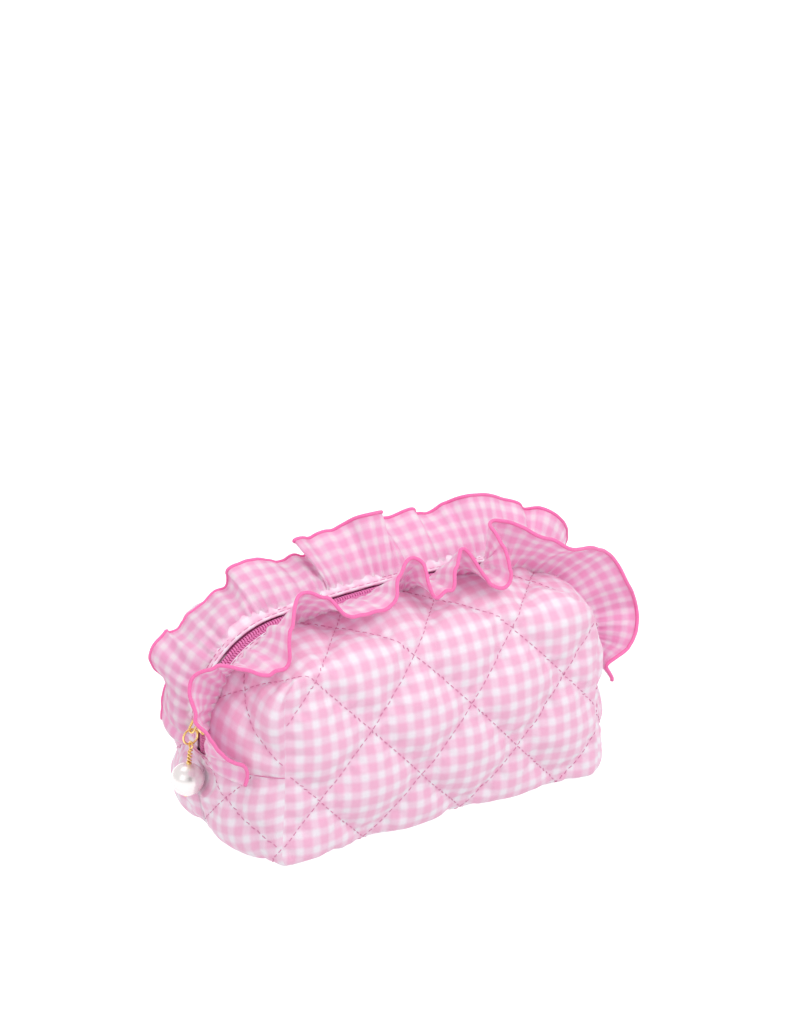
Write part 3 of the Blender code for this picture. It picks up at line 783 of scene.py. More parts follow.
def thread(name, colour, dark, pitch=0.9):
    """Twisted thread or overlocked edge, its twist running round the cord, with painted shade in
    the twist's grooves.
    """
    made, tree, shader = shader_base(name, 0.7)
    coords = tree.nodes.new("ShaderNodeUVMap")
    coords.uv_map = "cloth"
    split = tree.nodes.new("ShaderNodeSeparateXYZ")
    tree.links.new(coords.outputs[0], split.inputs[0])
    slant = maths(tree, "ADD", split.outputs[0], maths(tree, "MULTIPLY", split.outputs[1], 0.12))
    wave = maths(tree, "SINE", maths(tree, "MULTIPLY", slant, 2 * math.pi / pitch))
    level = maths(tree, "ADD", maths(tree, "MULTIPLY", wave, 0.5), 0.5)
    fuzz = object_noise(tree, 900.0, 2.0)
    mix = maths(tree, "MULTIPLY", maths(tree, "ADD", level, fuzz), 0.6, clamp=True)
    # painted shade: the dark colour fills the twist's grooves where the height is low; the fuzz
    # adds random tone
    tree.links.new(mixed(tree, mix, dark, colour), shader.inputs["Base Color"])
    add_bump(tree, shader, mix, 0.5, 0.0003)
    shader.inputs["Sheen Weight"].default_value = 0.3
    shader.inputs["Specular IOR Level"].default_value = 0.25
    return made


def woven(name, colour, dark, scale=2400.0, roughness=0.75):
    """Plain close weave for tape and lining, from the object's own coordinates, its hollows painted
    darker as shade, with random cloudy tone.
    """
    made, tree, shader = shader_base(name, roughness)
    place = tree.nodes.new("ShaderNodeTexCoord")
    split = tree.nodes.new("ShaderNodeSeparateXYZ")
    tree.links.new(place.outputs["Object"], split.inputs[0])
    ribs = [maths(tree, "SINE", maths(tree, "MULTIPLY", split.outputs[n], scale))
            for n in range(3)]
    level = maths(tree, "MULTIPLY", maths(tree, "ADD", maths(tree, "ADD", ribs[0], ribs[1]),
                                          ribs[2]), 0.17)
    cloud = object_noise(tree, 60.0, 4.0)
    # painted shade: the dark colour goes where the ribs are low, in the weave's hollows; the cloud
    # adds random tone
    both = maths(tree, "ADD", maths(tree, "ADD", level, 0.1), cloud, clamp=True)
    tree.links.new(mixed(tree, both, dark, colour), shader.inputs["Base Color"])
    add_bump(tree, shader, level, 0.35, 0.0003)
    shader.inputs["Sheen Weight"].default_value = 0.2
    return made


def nylon(name, colour, dark):
    """Slightly glossy filament of the coil, mottled in tone."""
    made, tree, shader = shader_base(name, 0.38)
    cloud = object_noise(tree, 380.0, 3.0)
    tree.links.new(mixed(tree, cloud, dark, colour), shader.inputs["Base Color"])
    rough = maths(tree, "ADD", maths(tree, "MULTIPLY", cloud, 0.2), 0.28)
    tree.links.new(rough, shader.inputs["Roughness"])
    add_bump(tree, shader, cloud, 0.15, 0.0002)
    shader.inputs["Coat Weight"].default_value = 0.15
    return made


def gold(name):
    """Gold plate with faint polishing marks and duller patches."""
    made, tree, shader = shader_base(name, 0.2, 1.0)
    place = tree.nodes.new("ShaderNodeTexCoord")
    cloud = node(tree, "ShaderNodeTexNoise", Scale=240.0, Detail=4.0)
    marks = node(tree, "ShaderNodeTexNoise", Scale=1500.0, Detail=2.0)
    squeeze = tree.nodes.new("ShaderNodeMapping")
    squeeze.inputs["Scale"].default_value = (1.0, 1.0, 0.12)
    tree.links.new(place.outputs["Object"], cloud.inputs["Vector"])
    tree.links.new(place.outputs["Object"], squeeze.inputs[0])
    tree.links.new(squeeze.outputs[0], marks.inputs["Vector"])
    tint = mixed(tree, cloud.outputs[0], (0.80, 0.52, 0.16, 1), (0.95, 0.74, 0.34, 1))
    tree.links.new(tint, shader.inputs["Base Color"])
    rough = maths(tree, "ADD", maths(tree, "MULTIPLY", cloud.outputs[0], 0.2), 0.12)
    tree.links.new(rough, shader.inputs["Roughness"])
    add_bump(tree, shader, marks.outputs[0], 0.02, 0.0001)
    return made


def pearly(name):
    """Pearl: milky body under a clear coat, with a pink tint towards its outline that follows the
    viewing angle, a painted sheen.
    """
    made, tree, shader = shader_base(name, 0.26, 0.5)
    cloud = object_noise(tree, 95.0, 3.0)
    # painted sheen: the pink grows towards the outline as the surface turns from the view
    edge = tree.nodes.new("ShaderNodeLayerWeight")
    edge.inputs[0].default_value = 0.35
    inner = mixed(tree, cloud, (0.87, 0.84, 0.83, 1), (0.92, 0.90, 0.88, 1))
    tint = mixed(tree, edge.outputs["Facing"], inner, (0.93, 0.80, 0.82, 1))
    tree.links.new(tint, shader.inputs["Base Color"])
    add_bump(tree, shader, cloud, 0.02, 0.0002)
    shader.inputs["Coat Weight"].default_value = 0.6
    shader.inputs["Coat Roughness"].default_value = 0.08
    return made


LOOKS = {
    "gingham_cotton": gingham("quilt_gingham", (0.90, 0.82, 0.90, 1), (0.90, 0.62, 0.77, 1),
                              (0.89, 0.47, 0.66, 1)),
    "ruffle_cotton": gingham("ruffle_gingham", (1.0, 0.92, 0.97, 1), (1.0, 0.73, 0.89, 1),
                             (1.0, 0.56, 0.80, 1), sheer=0.40, bump=0.35),
    # hem thread: the second colour is painted shade for the grooves of the twist
    "rolled_hem": thread("hem_thread", (1.0, 0.24, 0.54, 1), (0.93, 0.13, 0.42, 1), 0.55),
    # woven looks: the second colour is painted shade in the weave's hollows, mixed with random tone
    "binding_tape": woven("binding_weave", (0.90, 0.42, 0.62, 1), (0.80, 0.30, 0.50, 1)),
    "lining_cotton": woven("lining_weave", (0.93, 0.72, 0.82, 1), (0.86, 0.60, 0.72, 1)),
    "wadding": woven("wadding_fibre", (0.90, 0.89, 0.86, 1), (0.80, 0.79, 0.76, 1), 700.0),
    "zip_tape": woven("tape_weave", (0.80, 0.17, 0.46, 1), (0.62, 0.08, 0.32, 1)),
    "zip_coil": nylon("coil_nylon", (0.92, 0.27, 0.58, 1), (0.76, 0.15, 0.43, 1)),
    "gold_metal": gold("gold_plate"),
    "pearl": pearly("pearl_body"),
}
# second colour: painted shade for the grooves of the thread's twist
STITCHES = thread("stitch_thread", (0.80, 0.28, 0.50, 1), (0.66, 0.17, 0.38, 1), 0.5)


def finish_piece(piece, slot, body, ends=None, replaces=()):
    """Give a piece its material, attach it to its body or bake its transform in place, and hide the
    nodes it stands for.
    """
    if not piece.data.materials:
        piece.data.materials.append(LOOKS[slot])
    if ends:
        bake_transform(piece)
    else:
        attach(piece, body)
    if replaces:
        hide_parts(*replaces)


CLOTH_TURN = ((0, 0, 0.040), (0, 0, 0.090))


def make_pouch():
    """Quilted cover, its thread, and the lining, for both halves."""
    for side in SIDES:
        body = side + "_half"
        quilt = build_quilt(side)
        sewing = sew_quilting(side, quilt)
        sewing.data.materials.append(STITCHES)
        finish_piece(sewing, "gingham_cotton", body, CLOTH_TURN)
        thicken(quilt, 0.7)
        nodes = [side + name for name in ("_cover", "_wadding", "_fold_band")]
        if side == "front":
            nodes += ["lower_cover", "lower_wadding"]
        finish_piece(quilt, "gingham_cotton", body, CLOTH_TURN, nodes)
        lining = make_lining(side)
        nodes = [side + "_lining"] + (["lower_lining"] if side == "front" else [])
        finish_piece(lining, "lining_cotton", body, CLOTH_TURN, nodes)


def make_lining(side):
    """Smooth inner wall, drawn in a little between the stitch lines."""
    cells = pouch_cells()
    keys = sorted({key for _, corners in cells for key in corners})
    order = {key: n for n, key in enumerate(keys)}
    flat = cloth_coordinates({key: pouch_point(*key) for key in keys})
    sign = SIDES[side]
    points = []
    for key in keys:
        panel = next(p for p in ("front", "upper", "lower") if key in flat[p])
        a, b = quilt_lines(flat[panel][key][0], quilt_t(side, flat[panel][key][1]))
        lift = (abs(math.sin(math.pi * a)) * abs(math.sin(math.pi * b))) ** 0.6
        p = pouch_point(*key, depth=1.6 + 1.6 * lift)
        points.append(Vector((p.x, -sign * p.y, p.z)))
    faces = []
    for panel, corners in cells:
        turn = corners if side == "back" else list(reversed(corners))
        faces.append(tuple(order[c] for c in turn))
    lining = new_mesh(side + "_inner_lining", points, faces)
    thicken(lining, 0.4, 1.0)
    return lining


def flat_lookup(quilt):
    """Finder of the point and normal on a finished cover at a place on its flat cloth."""
    mesh = quilt.data
    mesh.calc_loop_triangles()
    layer = mesh.uv_layers["cloth"].data
    flat, faces = [], []
    for n, part in enumerate(mesh.loop_triangles):
        flat += [Vector((layer[k].uv[0] * CHECK, layer[k].uv[1] * CHECK, 0)) for k in part.loops]
        faces.append((3 * n, 3 * n + 1, 3 * n + 2))
    tree = BVHTree.FromPolygons(flat, faces)

    def find(s, t):
        spot, _, index, _ = tree.ray_cast(Vector((s, t, 5)), Vector((0, 0, -1)), 10)
        if index is None:
            return None
        a, b, c = (flat[k] for k in faces[index])
        area = (b - a).cross(c - a).z
        if abs(area) < 1e-6:
            return None
        wb = (spot - a).cross(c - a).z / area
        wc = (b - a).cross(spot - a).z / area
        verts = [mesh.vertices[k] for k in mesh.loop_triangles[index].vertices]
        weights = (1 - wb - wc, wb, wc)
        place = sum((v.co * w for v, w in zip(verts, weights)), Vector()) / MM
        up = sum((v.normal * w for v, w in zip(verts, weights)), Vector())
        return place, up.normalized()
    return find


def stitch_row(points, ups, length=2.0, gap=1.2, radius=0.2, sink=0.3):
    """Tubes for a line of running stitches over a polyline with its outward directions."""
    reach = running(points)
    rows = []
    at = gap / 2
    while at + length < reach[-1]:
        ring_points = []
        for part in (0.0, 0.15, 0.5, 0.85, 1.0):
            want = at + length * part
            k = min(int(np.searchsorted(reach, want)), len(points) - 1)
            span = reach[k] - reach[k - 1]
            mixed_at = (want - reach[k - 1]) / span if span > 1e-9 else 0.0
            spot = points[k - 1].lerp(points[k], mixed_at)
            high = radius * 0.6 - (sink if part in (0.0, 1.0) else 0.0)
            ring_points.append(spot + ups[k] * high)
        rows.append(tube_rows(ring_points, radius, 5))
        at += length + gap
    return rows


def join_tubes(name, groups, pitch=6.0):
    """One mesh of many short capped tubes, each given as rows of ring points."""
    points, faces, uvs = [], [], []
    for rows in groups:
        base = len(points)
        sides = len(rows[0])
        points += [p for row in rows for p in row]
        for i in range(len(rows) - 1):
            for j in range(sides):
                k = (j + 1) % sides
                faces.append((base + i * sides + j, base + i * sides + k,
                              base + (i + 1) * sides + k, base + (i + 1) * sides + j))
                u, v = i * pitch / sides, pitch * j / sides
                uvs.append(((u, v), (u, v + pitch / sides), (u + 1, v + pitch / sides), (u + 1, v)))
        last = base + (len(rows) - 1) * sides
        faces.append(tuple(base + j for j in reversed(range(sides))))
        faces.append(tuple(last + j for j in range(sides)))
        uvs += [tuple((0.0, j) for j in range(sides))] * 2
    made = new_mesh(name, points, faces, uvs)
    return repair(made)


LINE_STEP = 1.0             # spacing of the points looked up along a quilting line
LINE_LOW = -150             # lookup starts here; most of the back's upper panel is lower
LINE_SPAN = 360
LINE_COUNT = 8              # lines each way from the middle one
LONGEST_HOP = 6.0           # a longer step than this means another panel
FEWEST_POINTS = 5


def quilting_runs(side, find):
    """Unbroken stretches of every quilting line on one half, with outward directions."""
    runs = []
    for family in (1, -1):
        for number in range(-LINE_COUNT, LINE_COUNT + 1):
            points, ups = [], []
            for n in range(int(LINE_SPAN / LINE_STEP)):
                t = LINE_LOW + n * LINE_STEP
                s = QUILT_S0 + QUILT_ACROSS * (number - family * (t - QUILT_T0) / QUILT_UP)
                found = find(s, t)
                if found:
                    points.append(found[0])
                    ups.append(found[1])
                hop = (points[-1] - points[-2]).length if len(points) > 1 else 0.0
                if not found or hop > LONGEST_HOP:
                    runs.append((points, ups))
                    points, ups = [], []
            runs.append((points, ups))
    return [run for run in runs if len(run[0]) > FEWEST_POINTS]


def sew_quilting(side, quilt):
    """Running stitches along every quilting line, lying on the finished cover."""
    groups = []
    for points, ups in quilting_runs(side, flat_lookup(quilt)):
        groups += stitch_row(points, ups)
    return join_tubes(side + "_quilting_stitches", groups)


# ---------------------------------------------------------------- ruffles

RUFFLE_WIDTH = 30.0
HEM_RADIUS = 0.88
RUFFLE_ROWS = 18

# Each ruffle's hem from the left end of the zip, as laps: where the lap begins and ends
# along the zip, and how far it leans from upright. A lap that begins before the last one
# ended folds back over it.
FRONT_LAPS = [(-130, -120, 90), (-110, -110, 60), (-100, -90, 30), (-80, -70, 80),
              (-60, -50, 40), (-40, -20, 70), (-10, 0, 40), (0, 10, 70), (20, 20, 40),
              (30, 40, 70), (40, 50, 20), (60, 80, 40), (90, 110, 30), (120, 130, 90)]
BACK_LAPS = [(-130, -110, 90), (-100, -90, 70), (-90, -60, 80), (-60, -50, 60),
             (-40, -20, 70), (-30, -10, 50), (0, 10, 30), (10, 30, 50), (40, 40, 60),
             (50, 60, 30), (70, 80, 40), (80, 90, 20), (100, 110, 40), (120, 130, 90)]
LAPS = {"front": FRONT_LAPS, "back": BACK_LAPS}
LEAN_ARM = RUFFLE_WIDTH * math.pi / 180
LAP_BOW = 4.0               # each lap bows this much, in degrees, between its ends


def hem_path(side):
    """Hem as evenly spaced (place, lean) pairs, about a millimetre of cloth apart."""
    turned = []
    for start, end, lean in LAPS[side]:
        stops = [(start, 0.0), (end, 0.0)]
        if end - start > 12:
            stops.insert(1, ((start + end) / 2, LAP_BOW))
        for place, bow in stops:
            spot = Vector((place, (lean + bow) * LEAN_ARM, 0))
            if not turned or (spot - turned[-1]).length > 0.5:
                turned.append(spot)
    path = spline(turned, 0.9)
    return [(p.x, p.y / LEAN_ARM) for p in path]


def gather_places(hem, stretch=30):
    """Where each bit of the hem is gathered in along the zip, always going forwards."""
    sigma = np.array([p[0] for p in hem])
    pad = np.concatenate([np.full(stretch, sigma[0]), sigma, np.full(stretch, sigma[-1])])
    kernel = np.hanning(2 * stretch + 1)
    eased = np.convolve(pad, kernel / kernel.sum(), mode="valid")
    steps = np.maximum(np.diff(eased), 0.12)
    reach = np.concatenate([[0.0], np.cumsum(steps)])
    return -ZIP_END + 2 * ZIP_END * reach / reach[-1]


def ruffle_rows(side):
    """Rows of points from the gathering stitch to the hem, and the cloth's length."""
    sign = SIDES[side]
    hem = hem_path(side)
    base = gather_places(hem)
    columns = []
    for n, ((sigma, lean), root) in enumerate(zip(hem, base)):
        aside = max(-16.0, min(16.0, sigma - root))
        arm = math.sqrt(RUFFLE_WIDTH ** 2 - aside ** 2) * 0.96
        wander = noise.noise(Vector((n * 0.045, 3.7 * sign, 0.4)))
        ripple = math.sin(n * 0.30 + 6.0 * noise.noise(Vector((n * 0.04, 1.3 * sign, 6.0))))
        tilt = math.radians(lean + 5.0 * wander + 2.2 * ripple)
        foot = on_zip(root, 0.35, sign * GATHER_LINE)
        out_dir = (on_zip(root, 1.0) - on_zip(root, 0.0)).normalized()
        along = (on_zip(root + 0.5) - on_zip(root - 0.5)).normalized()
        away = Vector((0, sign, 0))
        tip = foot + along * aside + out_dir * arm * math.cos(tilt) + away * arm * math.sin(tilt)
        start = (out_dir * 0.9 + away * 0.45).normalized() * RUFFLE_WIDTH * 1.05
        droop = tilt + math.radians(18 if lean > 40 else 8)
        ending = (out_dir * math.cos(droop) + away * math.sin(droop)) * RUFFLE_WIDTH * 0.9
        ending += along * aside * 0.3
        columns.append((foot, start, tip, ending, n))
    rows = []
    for r in range(RUFFLE_ROWS + 1):
        w = (r / RUFFLE_ROWS) ** 1.25
        row = []
        for foot, start, tip, ending, n in columns:
            h00 = 2 * w ** 3 - 3 * w ** 2 + 1
            h10 = w ** 3 - 2 * w ** 2 + w
            h01 = -2 * w ** 3 + 3 * w ** 2
            h11 = w ** 3 - w ** 2
            row.append(foot * h00 + start * h10 + tip * h01 + ending * h11)
        rows.append(row)
    return gathered(rows, sign), len(hem)


def gathered(rows, sign):
    """Add the small gathers that fan out of the stitching and fade towards the hem."""
    count = len(rows[0])
    out = []
    for r, row in enumerate(rows):
        w = r / (len(rows) - 1)
        fade = math.exp(-w * 2.5) * smooth(w * 7 + 0.2)
        slow = 0.35 + w * (1 - w) * 3.0 if w else 0.0
        new_row = []
        for n, p in enumerate(row):
            a = row[max(n - 1, 0)]
            b = row[min(n + 1, count - 1)]
            along = (b - a).normalized() if (b - a).length > 1e-6 else Vector((1, 0, 0))
            up = (rows[min(r + 1, len(rows) - 1)][n] - rows[max(r - 1, 0)][n]).normalized()
            face = along.cross(up)
            phase = n * 0.85 + 4.5 * noise.noise(Vector((n * 0.06, 8.1 * sign, 0)))
            size = 1.1 + 0.7 * noise.noise(Vector((n * 0.09, 2.2, 4.0 * sign)))
            tight = size * math.sin(phase) * fade
            tight += 1.9 * noise.noise(Vector((n * 0.13, w * 1.2, 5.3 * sign))) * slow
            new_row.append(p + face * tight)
        out.append(new_row)
    return out


def make_ruffles():
    """Gathered gingham ruffle and its rolled hem on each side of the zip."""
    for side in SIDES:
        rows, count = ruffle_rows(side)
        down = running([row[count // 2] for row in rows])
        along = running(rows[-1])
        uv_rows = [[(x / CHECK, (d + 6.0) / CHECK) for x in along] for d in down]
        ruffle = grid_object(side + "_gathered_ruffle", rows, uv_rows)
        subdivide(ruffle, 1)
        thicken(ruffle, 0.28, 0.0)
        hem = tube(side + "_rolled_hem", rows[-1], HEM_RADIUS, 8)
        body = side + "_half"
        finish_piece(ruffle, "ruffle_cotton", body, CLOTH_TURN, [side + "_ruffle"])
        finish_piece(hem, "rolled_hem", body, CLOTH_TURN, [side + "_ruffle_hem"])


# ---------------------------------------------------------------- zip

def sweep(name, stations, section):
    """Strip of a closed section along stations of (origin, across, out, reach)."""
    rows, uv_rows = [], []
    girth = [0.0]
    for a, b in zip(section, section[1:] + section[:1]):
        girth.append(girth[-1] + math.hypot(b[0] - a[0], b[1] - a[1]))
    for origin, across, out, reach in stations:
        rows.append([origin + across * a + out * o for a, o in section])
        uv_rows.append([(reach / CHECK, g / CHECK) for g in girth])
    made = grid_object(name, rows, uv_rows, closed=True)
    return repair(made, fill=True)


def zip_stations(sign, out=0.0, step=1.5, extra=0.0):
    """Stations along the zip line for one side, running on past the end seams."""
    end = ZIP_END + extra
    count = round(2 * end / step)
    stations = []
    for n in range(count + 1):
        sigma = -end + 2 * end * n / count
        origin = on_zip(sigma, out)
        up = (on_zip(sigma, 1.0) - on_zip(sigma, 0.0)).normalized()
        stations.append((origin, Vector((0, sign, 0)), up, sigma))
    return stations


BAND = [(4.2, 0.30), (4.35, 0.75), (4.9, 1.0), (5.6, 0.8), (6.9, 1.05), (7.9, 0.75),
        (8.4, 0.3), (8.5, -0.2), (6.5, -0.35), (4.4, -0.2)]
TAPE = [(0.7, 0.25), (11.6, 0.25), (11.6, -0.25), (0.7, -0.25)]
TAPE_OUT = -2.3
COIL_OUT = -1.2
COIL_PITCH = 1.27
COIL_WIRE = 0.46


def coil_points(sign):
    """Helix of one coil row; the other row's loops fall between its own."""
    end = ZIP_END + ZIP_TAIL
    turns = int(2 * end / COIL_PITCH)
    per_turn = 12
    points = []
    for n in range(turns * per_turn + 1):
        angle = 2 * math.pi * n / per_turn
        shift = 0.25 if sign > 0 else -0.25
        sigma = -end + COIL_PITCH * (n / per_turn + shift)
        y = sign * (1.75 - 1.65 * math.cos(angle))
        lean = 0.25 * COIL_PITCH * math.sin(angle)
        points.append(on_zip(sigma + lean, COIL_OUT + 0.95 * math.sin(angle), y))
    return points


def make_zip():
    """Folded edge bands, tapes and coil rows with their sewing."""
    for side, sign in SIDES.items():
        body = side + "_half"
        band = sweep(side + "_zip_band", zip_stations(sign), BAND)
        finish_piece(band, "gingham_cotton", body, CLOTH_TURN)
        tape = sweep(side + "_zip_tape", zip_stations(sign, TAPE_OUT, extra=ZIP_TAIL), TAPE)
        nodes = ["%s_zipper_tape" % side]
        nodes += ["%s_%s_tail_tape" % (side, end) for end in ("left", "right")]
        finish_piece(tape, "zip_tape", body, CLOTH_TURN, nodes)
        coil = tube(side + "_zip_coil", coil_points(sign), COIL_WIRE, 6)
        filler = [on_zip(st[3], COIL_OUT, sign * 1.9) for st in zip_stations(sign, extra=ZIP_TAIL)]
        cord = tube(side + "_coil_cord", filler, 0.75, 8)
        finish_piece(cord, "zip_tape", body, CLOTH_TURN)
        nodes = ["%s_zipper_coil" % side]
        nodes += ["%s_%s_tail_coil" % (side, end) for end in ("left", "right")]
        finish_piece(coil, "zip_coil", body, CLOTH_TURN, nodes)
        groups = []
        for y, high, length, gap in ((5.5, 0.75, 2.6, 1.1), (7.7, 0.8, 2.0, 1.0)):
            stations = zip_stations(sign, high, 1.0)
            points = [origin + across * y for origin, across, _, _ in stations]
            groups += stitch_row(points, [st[2] for st in stations], length, gap, 0.24)
        sewing = join_tubes(side + "_zip_stitches", groups)
        sewing.data.materials.append(STITCHES)
        finish_piece(sewing, "gingham_cotton", body, CLOTH_TURN)


# ---------------------------------------------------------------- slider and charm

PULL_PIVOT = Vector((-97.3, 0, 57.4))
PULL_BAR = Vector((-101.12, 0, 51.29))
PULL_HALF = 2.1
PULL_WIRE = 0.55
RING_CENTRE = Vector((-101.12, 0, 48.94))
RING_RADIUS = 3.5
RING_WIRE = 0.5
EYE_CENTRE = Vector((-101.12, 0, 44.94))
CHARM_PIVOT = Vector((-101.12, 0, 45.44))   # where the eye hangs in the ring
EYE_RADIUS = 1.5
PIN_WIRE = 0.4
PEARL_CENTRE = Vector((-103.22, 0, 28.93))
PEARL_RADIUS = 7.4


def circle(centre, a, b, radius, count=48):
    """Points of a circle in the plane of two unit vectors."""
    return [centre + a * radius * math.cos(2 * math.pi * n / count)
            + b * radius * math.sin(2 * math.pi * n / count) for n in range(count)]


def pull_points():
    """Oval pull loop, a little wider at its foot, from the slider to the ring."""
    down = PULL_BAR - PULL_PIVOT
    reach = down.length
    down.normalize()
    side = Vector((0, 1, 0))
    points = []
    for n in range(64):
        angle = 2 * math.pi * n / 64
        c, s = math.cos(angle), math.sin(angle)
        along = reach / 2 * (1 - math.copysign(abs(c) ** 0.6, c))
        wide = (PULL_HALF - 0.35 + 0.35 * along / reach) * math.copysign(abs(s) ** 0.7, s)
        points.append(PULL_PIVOT + down * along + side * wide)
    return points


def make_pearl(axis):
    """Bead turned from a profile, closed flat at both ends, not quite round."""
    u = axis.orthogonal().normalized()
    w = axis.cross(u)
    rows = []
    for n in range(41):
        lat = math.pi * (0.035 + 0.93 * n / 40)
        row = []
        for m in range(64):
            lon = 2 * math.pi * m / 64
            d = axis * math.cos(lat) + (u * math.cos(lon) + w * math.sin(lon)) * math.sin(lat)
            swell = 1 + 0.004 * noise.noise(d * 2.1 + Vector((4, 1, 2)))
            row.append(PEARL_CENTRE + d * PEARL_RADIUS * swell)
        rows.append(row)
    uv_rows = [[(m, n) for m in range(65)] for n in range(41)]
    pearl = grid_object("pearl_bead", rows, uv_rows, closed=True)
    return repair(pearl, fill=True)


SLIDER_ANGLE = 7.2          # degrees up the end arc
SLIDER_HALF = 8.4


def on_arc(angle, out, y=0.0):
    """Point beside the left end arc of the zip, an angle up from level."""
    a = math.radians(angle)
    r = ZIP_RADIUS + FACE_OVER_COIL + out
    return Vector((-ZIP_ARC_X - r * math.cos(a), y, ZIP_ARC_Z + r * math.sin(a)))


def squircle(count, a, b, power=0.6):
    """Rounded rectangle as (across, out) pairs."""
    pairs = []
    for n in range(count):
        c, s = (f(2 * math.pi * n / count) for f in (math.cos, math.sin))
        pairs.append((a * math.copysign(abs(c) ** power, c), b * math.copysign(abs(s) ** power, s)))
    return pairs


def slider_plate(out, thick, low_width, high_width):
    """Rows of a curved plate that is wide at its shoulders and rounded at its ends."""
    rows = []
    for n in range(25):
        part = n / 24
        turn = 2 * part - 1
        ends = max(0.0, 1 - abs(turn) ** 6) ** 0.5
        wide = low_width + (high_width - low_width) * smooth((part - 0.25) / 0.5)
        wide = max(0.25, wide * (0.62 + 0.38 * ends) if n not in (0, 24) else wide * 0.5)
        angle = SLIDER_ANGLE + SLIDER_HALF * turn
        deep = thick / 2 * (0.55 + 0.45 * ends)
        rows.append([on_arc(angle, out + o, y) for y, o in squircle(20, wide, deep)])
    return rows


def slider_bridge():
    """Rows of the arched lug that holds the pull."""
    rows = []
    for n in range(25):
        part = n / 24
        angle = SLIDER_ANGLE + 6.4 - 9.6 * part
        rise = 0.6 + 3.2 * math.sin(math.pi * part) ** 0.55
        slope = math.cos(math.pi * part)
        row = []
        for y, o in squircle(14, 1.05, 0.42, 0.8):
            row.append(on_arc(angle + 0.5 * o * slope, rise + o * (1 - 0.5 * abs(slope)), y))
        rows.append(row)
    return rows


def make_slider():
    """Cast slider: upper and lower plates, the wedge between them and the lug."""
    wedge = []
    for n in range(9):
        out = 0.4 - 3.9 * n / 8
        wedge.append([on_arc(SLIDER_ANGLE + 4.2 + 2.2 * a, out, 1.3 * b)
                      for b, a in squircle(12, 1.0, 1.0, 0.9)])
    parts = [slider_plate(0.75, 1.1, 3.3, 4.2), slider_plate(-3.9, 0.9, 3.3, 4.2), wedge,
             slider_bridge()]
    slider = join_tubes("cast_slider", parts)
    finish_piece(slider, "gold_metal", "slider", replaces=["slider"])


ENDS = (("left", 0, -1.0), ("right", CELLS_X, 1.0))


def make_seam_lines():
    """Thread lying in the seam across each end, where the ruffles' ends are caught."""
    for end, i, way in ENDS:
        half = [pouch_point(i, j, CELLS_LOW) for j in range(CELLS_Y + 1)]
        points = [Vector((p.x + 0.25 * way, p.y, p.z)) for p in half]
        points += [Vector((p.x, -p.y, p.z)) for p in reversed(points[:-1])]
        line = tube(end + "_end_seam_line", even_steps(points, 1.2), 0.26, 6)
        line.data.materials.append(STITCHES)
        finish_piece(line, "gingham_cotton", "root")


def make_charm():
    """Pull, jump ring, wrapped eye pin and pearl, finer than the solids they stand for."""
    pull = tube("oval_pull", pull_points(), PULL_WIRE, 12, closed=True)
    finish_piece(pull, "gold_metal", "pull", replaces=["pull_loop"])
    x, y, z = Vector((1, 0, 0)), Vector((0, 1, 0)), Vector((0, 0, 1))
    ring = tube("gold_jump_ring", circle(RING_CENTRE, z, x, RING_RADIUS), RING_WIRE, 12, True)
    finish_piece(ring, "gold_metal", "ring", replaces=["jump_ring"])
    axis = (EYE_CENTRE - PEARL_CENTRE).normalized()
    wire = [EYE_CENTRE + y * EYE_RADIUS * math.sin(a) + axis * EYE_RADIUS * math.cos(a)
            for a in [math.pi + 2 * math.pi * n / 40 for n in range(41)]]
    eye_foot = EYE_CENTRE - axis * EYE_RADIUS
    top = PEARL_CENTRE + axis * (PEARL_RADIUS + 0.2)
    across = axis.cross(y)
    turns = 4.5
    drop = (eye_foot - top).length
    for n in range(1, 91):
        part = n / 90
        angle = 2 * math.pi * turns * part
        wide = PIN_WIRE * 1.9 * smooth(part * 10)
        wire.append(eye_foot - axis * drop * part
                    + (y * math.cos(angle) + across * math.sin(angle)) * wide)
    shank = [eye_foot - axis * 0.1, top - axis * 1.0]
    wrapped = join_tubes("wrapped_eye_pin", [tube_rows(wire, PIN_WIRE, 10),
                                             tube_rows(shank, PIN_WIRE, 10),
                                             bead_cap(axis, 1), bead_cap(axis, -1)])
    finish_piece(wrapped, "gold_metal", "charm", replaces=["eye_pin"])
    finish_piece(make_pearl(axis), "pearl", "bead", replaces=["pearl"])


def bead_cap(axis, way):
    """Rows of a small domed cap on the bead, above it or below it."""
    u = axis.orthogonal().normalized()
    w = axis.cross(u)
    rows = []
    for radius, high in ((0.9, 0.0), (1.25, 0.12), (1.3, 0.35), (1.0, 0.7), (0.5, 0.95)):
        centre = PEARL_CENTRE + axis * way * (PEARL_RADIUS - 0.15 + high)
        rows.append([centre + (u * math.cos(2 * math.pi * n / 16)
                               + w * math.sin(2 * math.pi * n / 16)) * radius
                     for n in range(16)])
    return rows


# ---------------------------------------------------------------- inside bindings

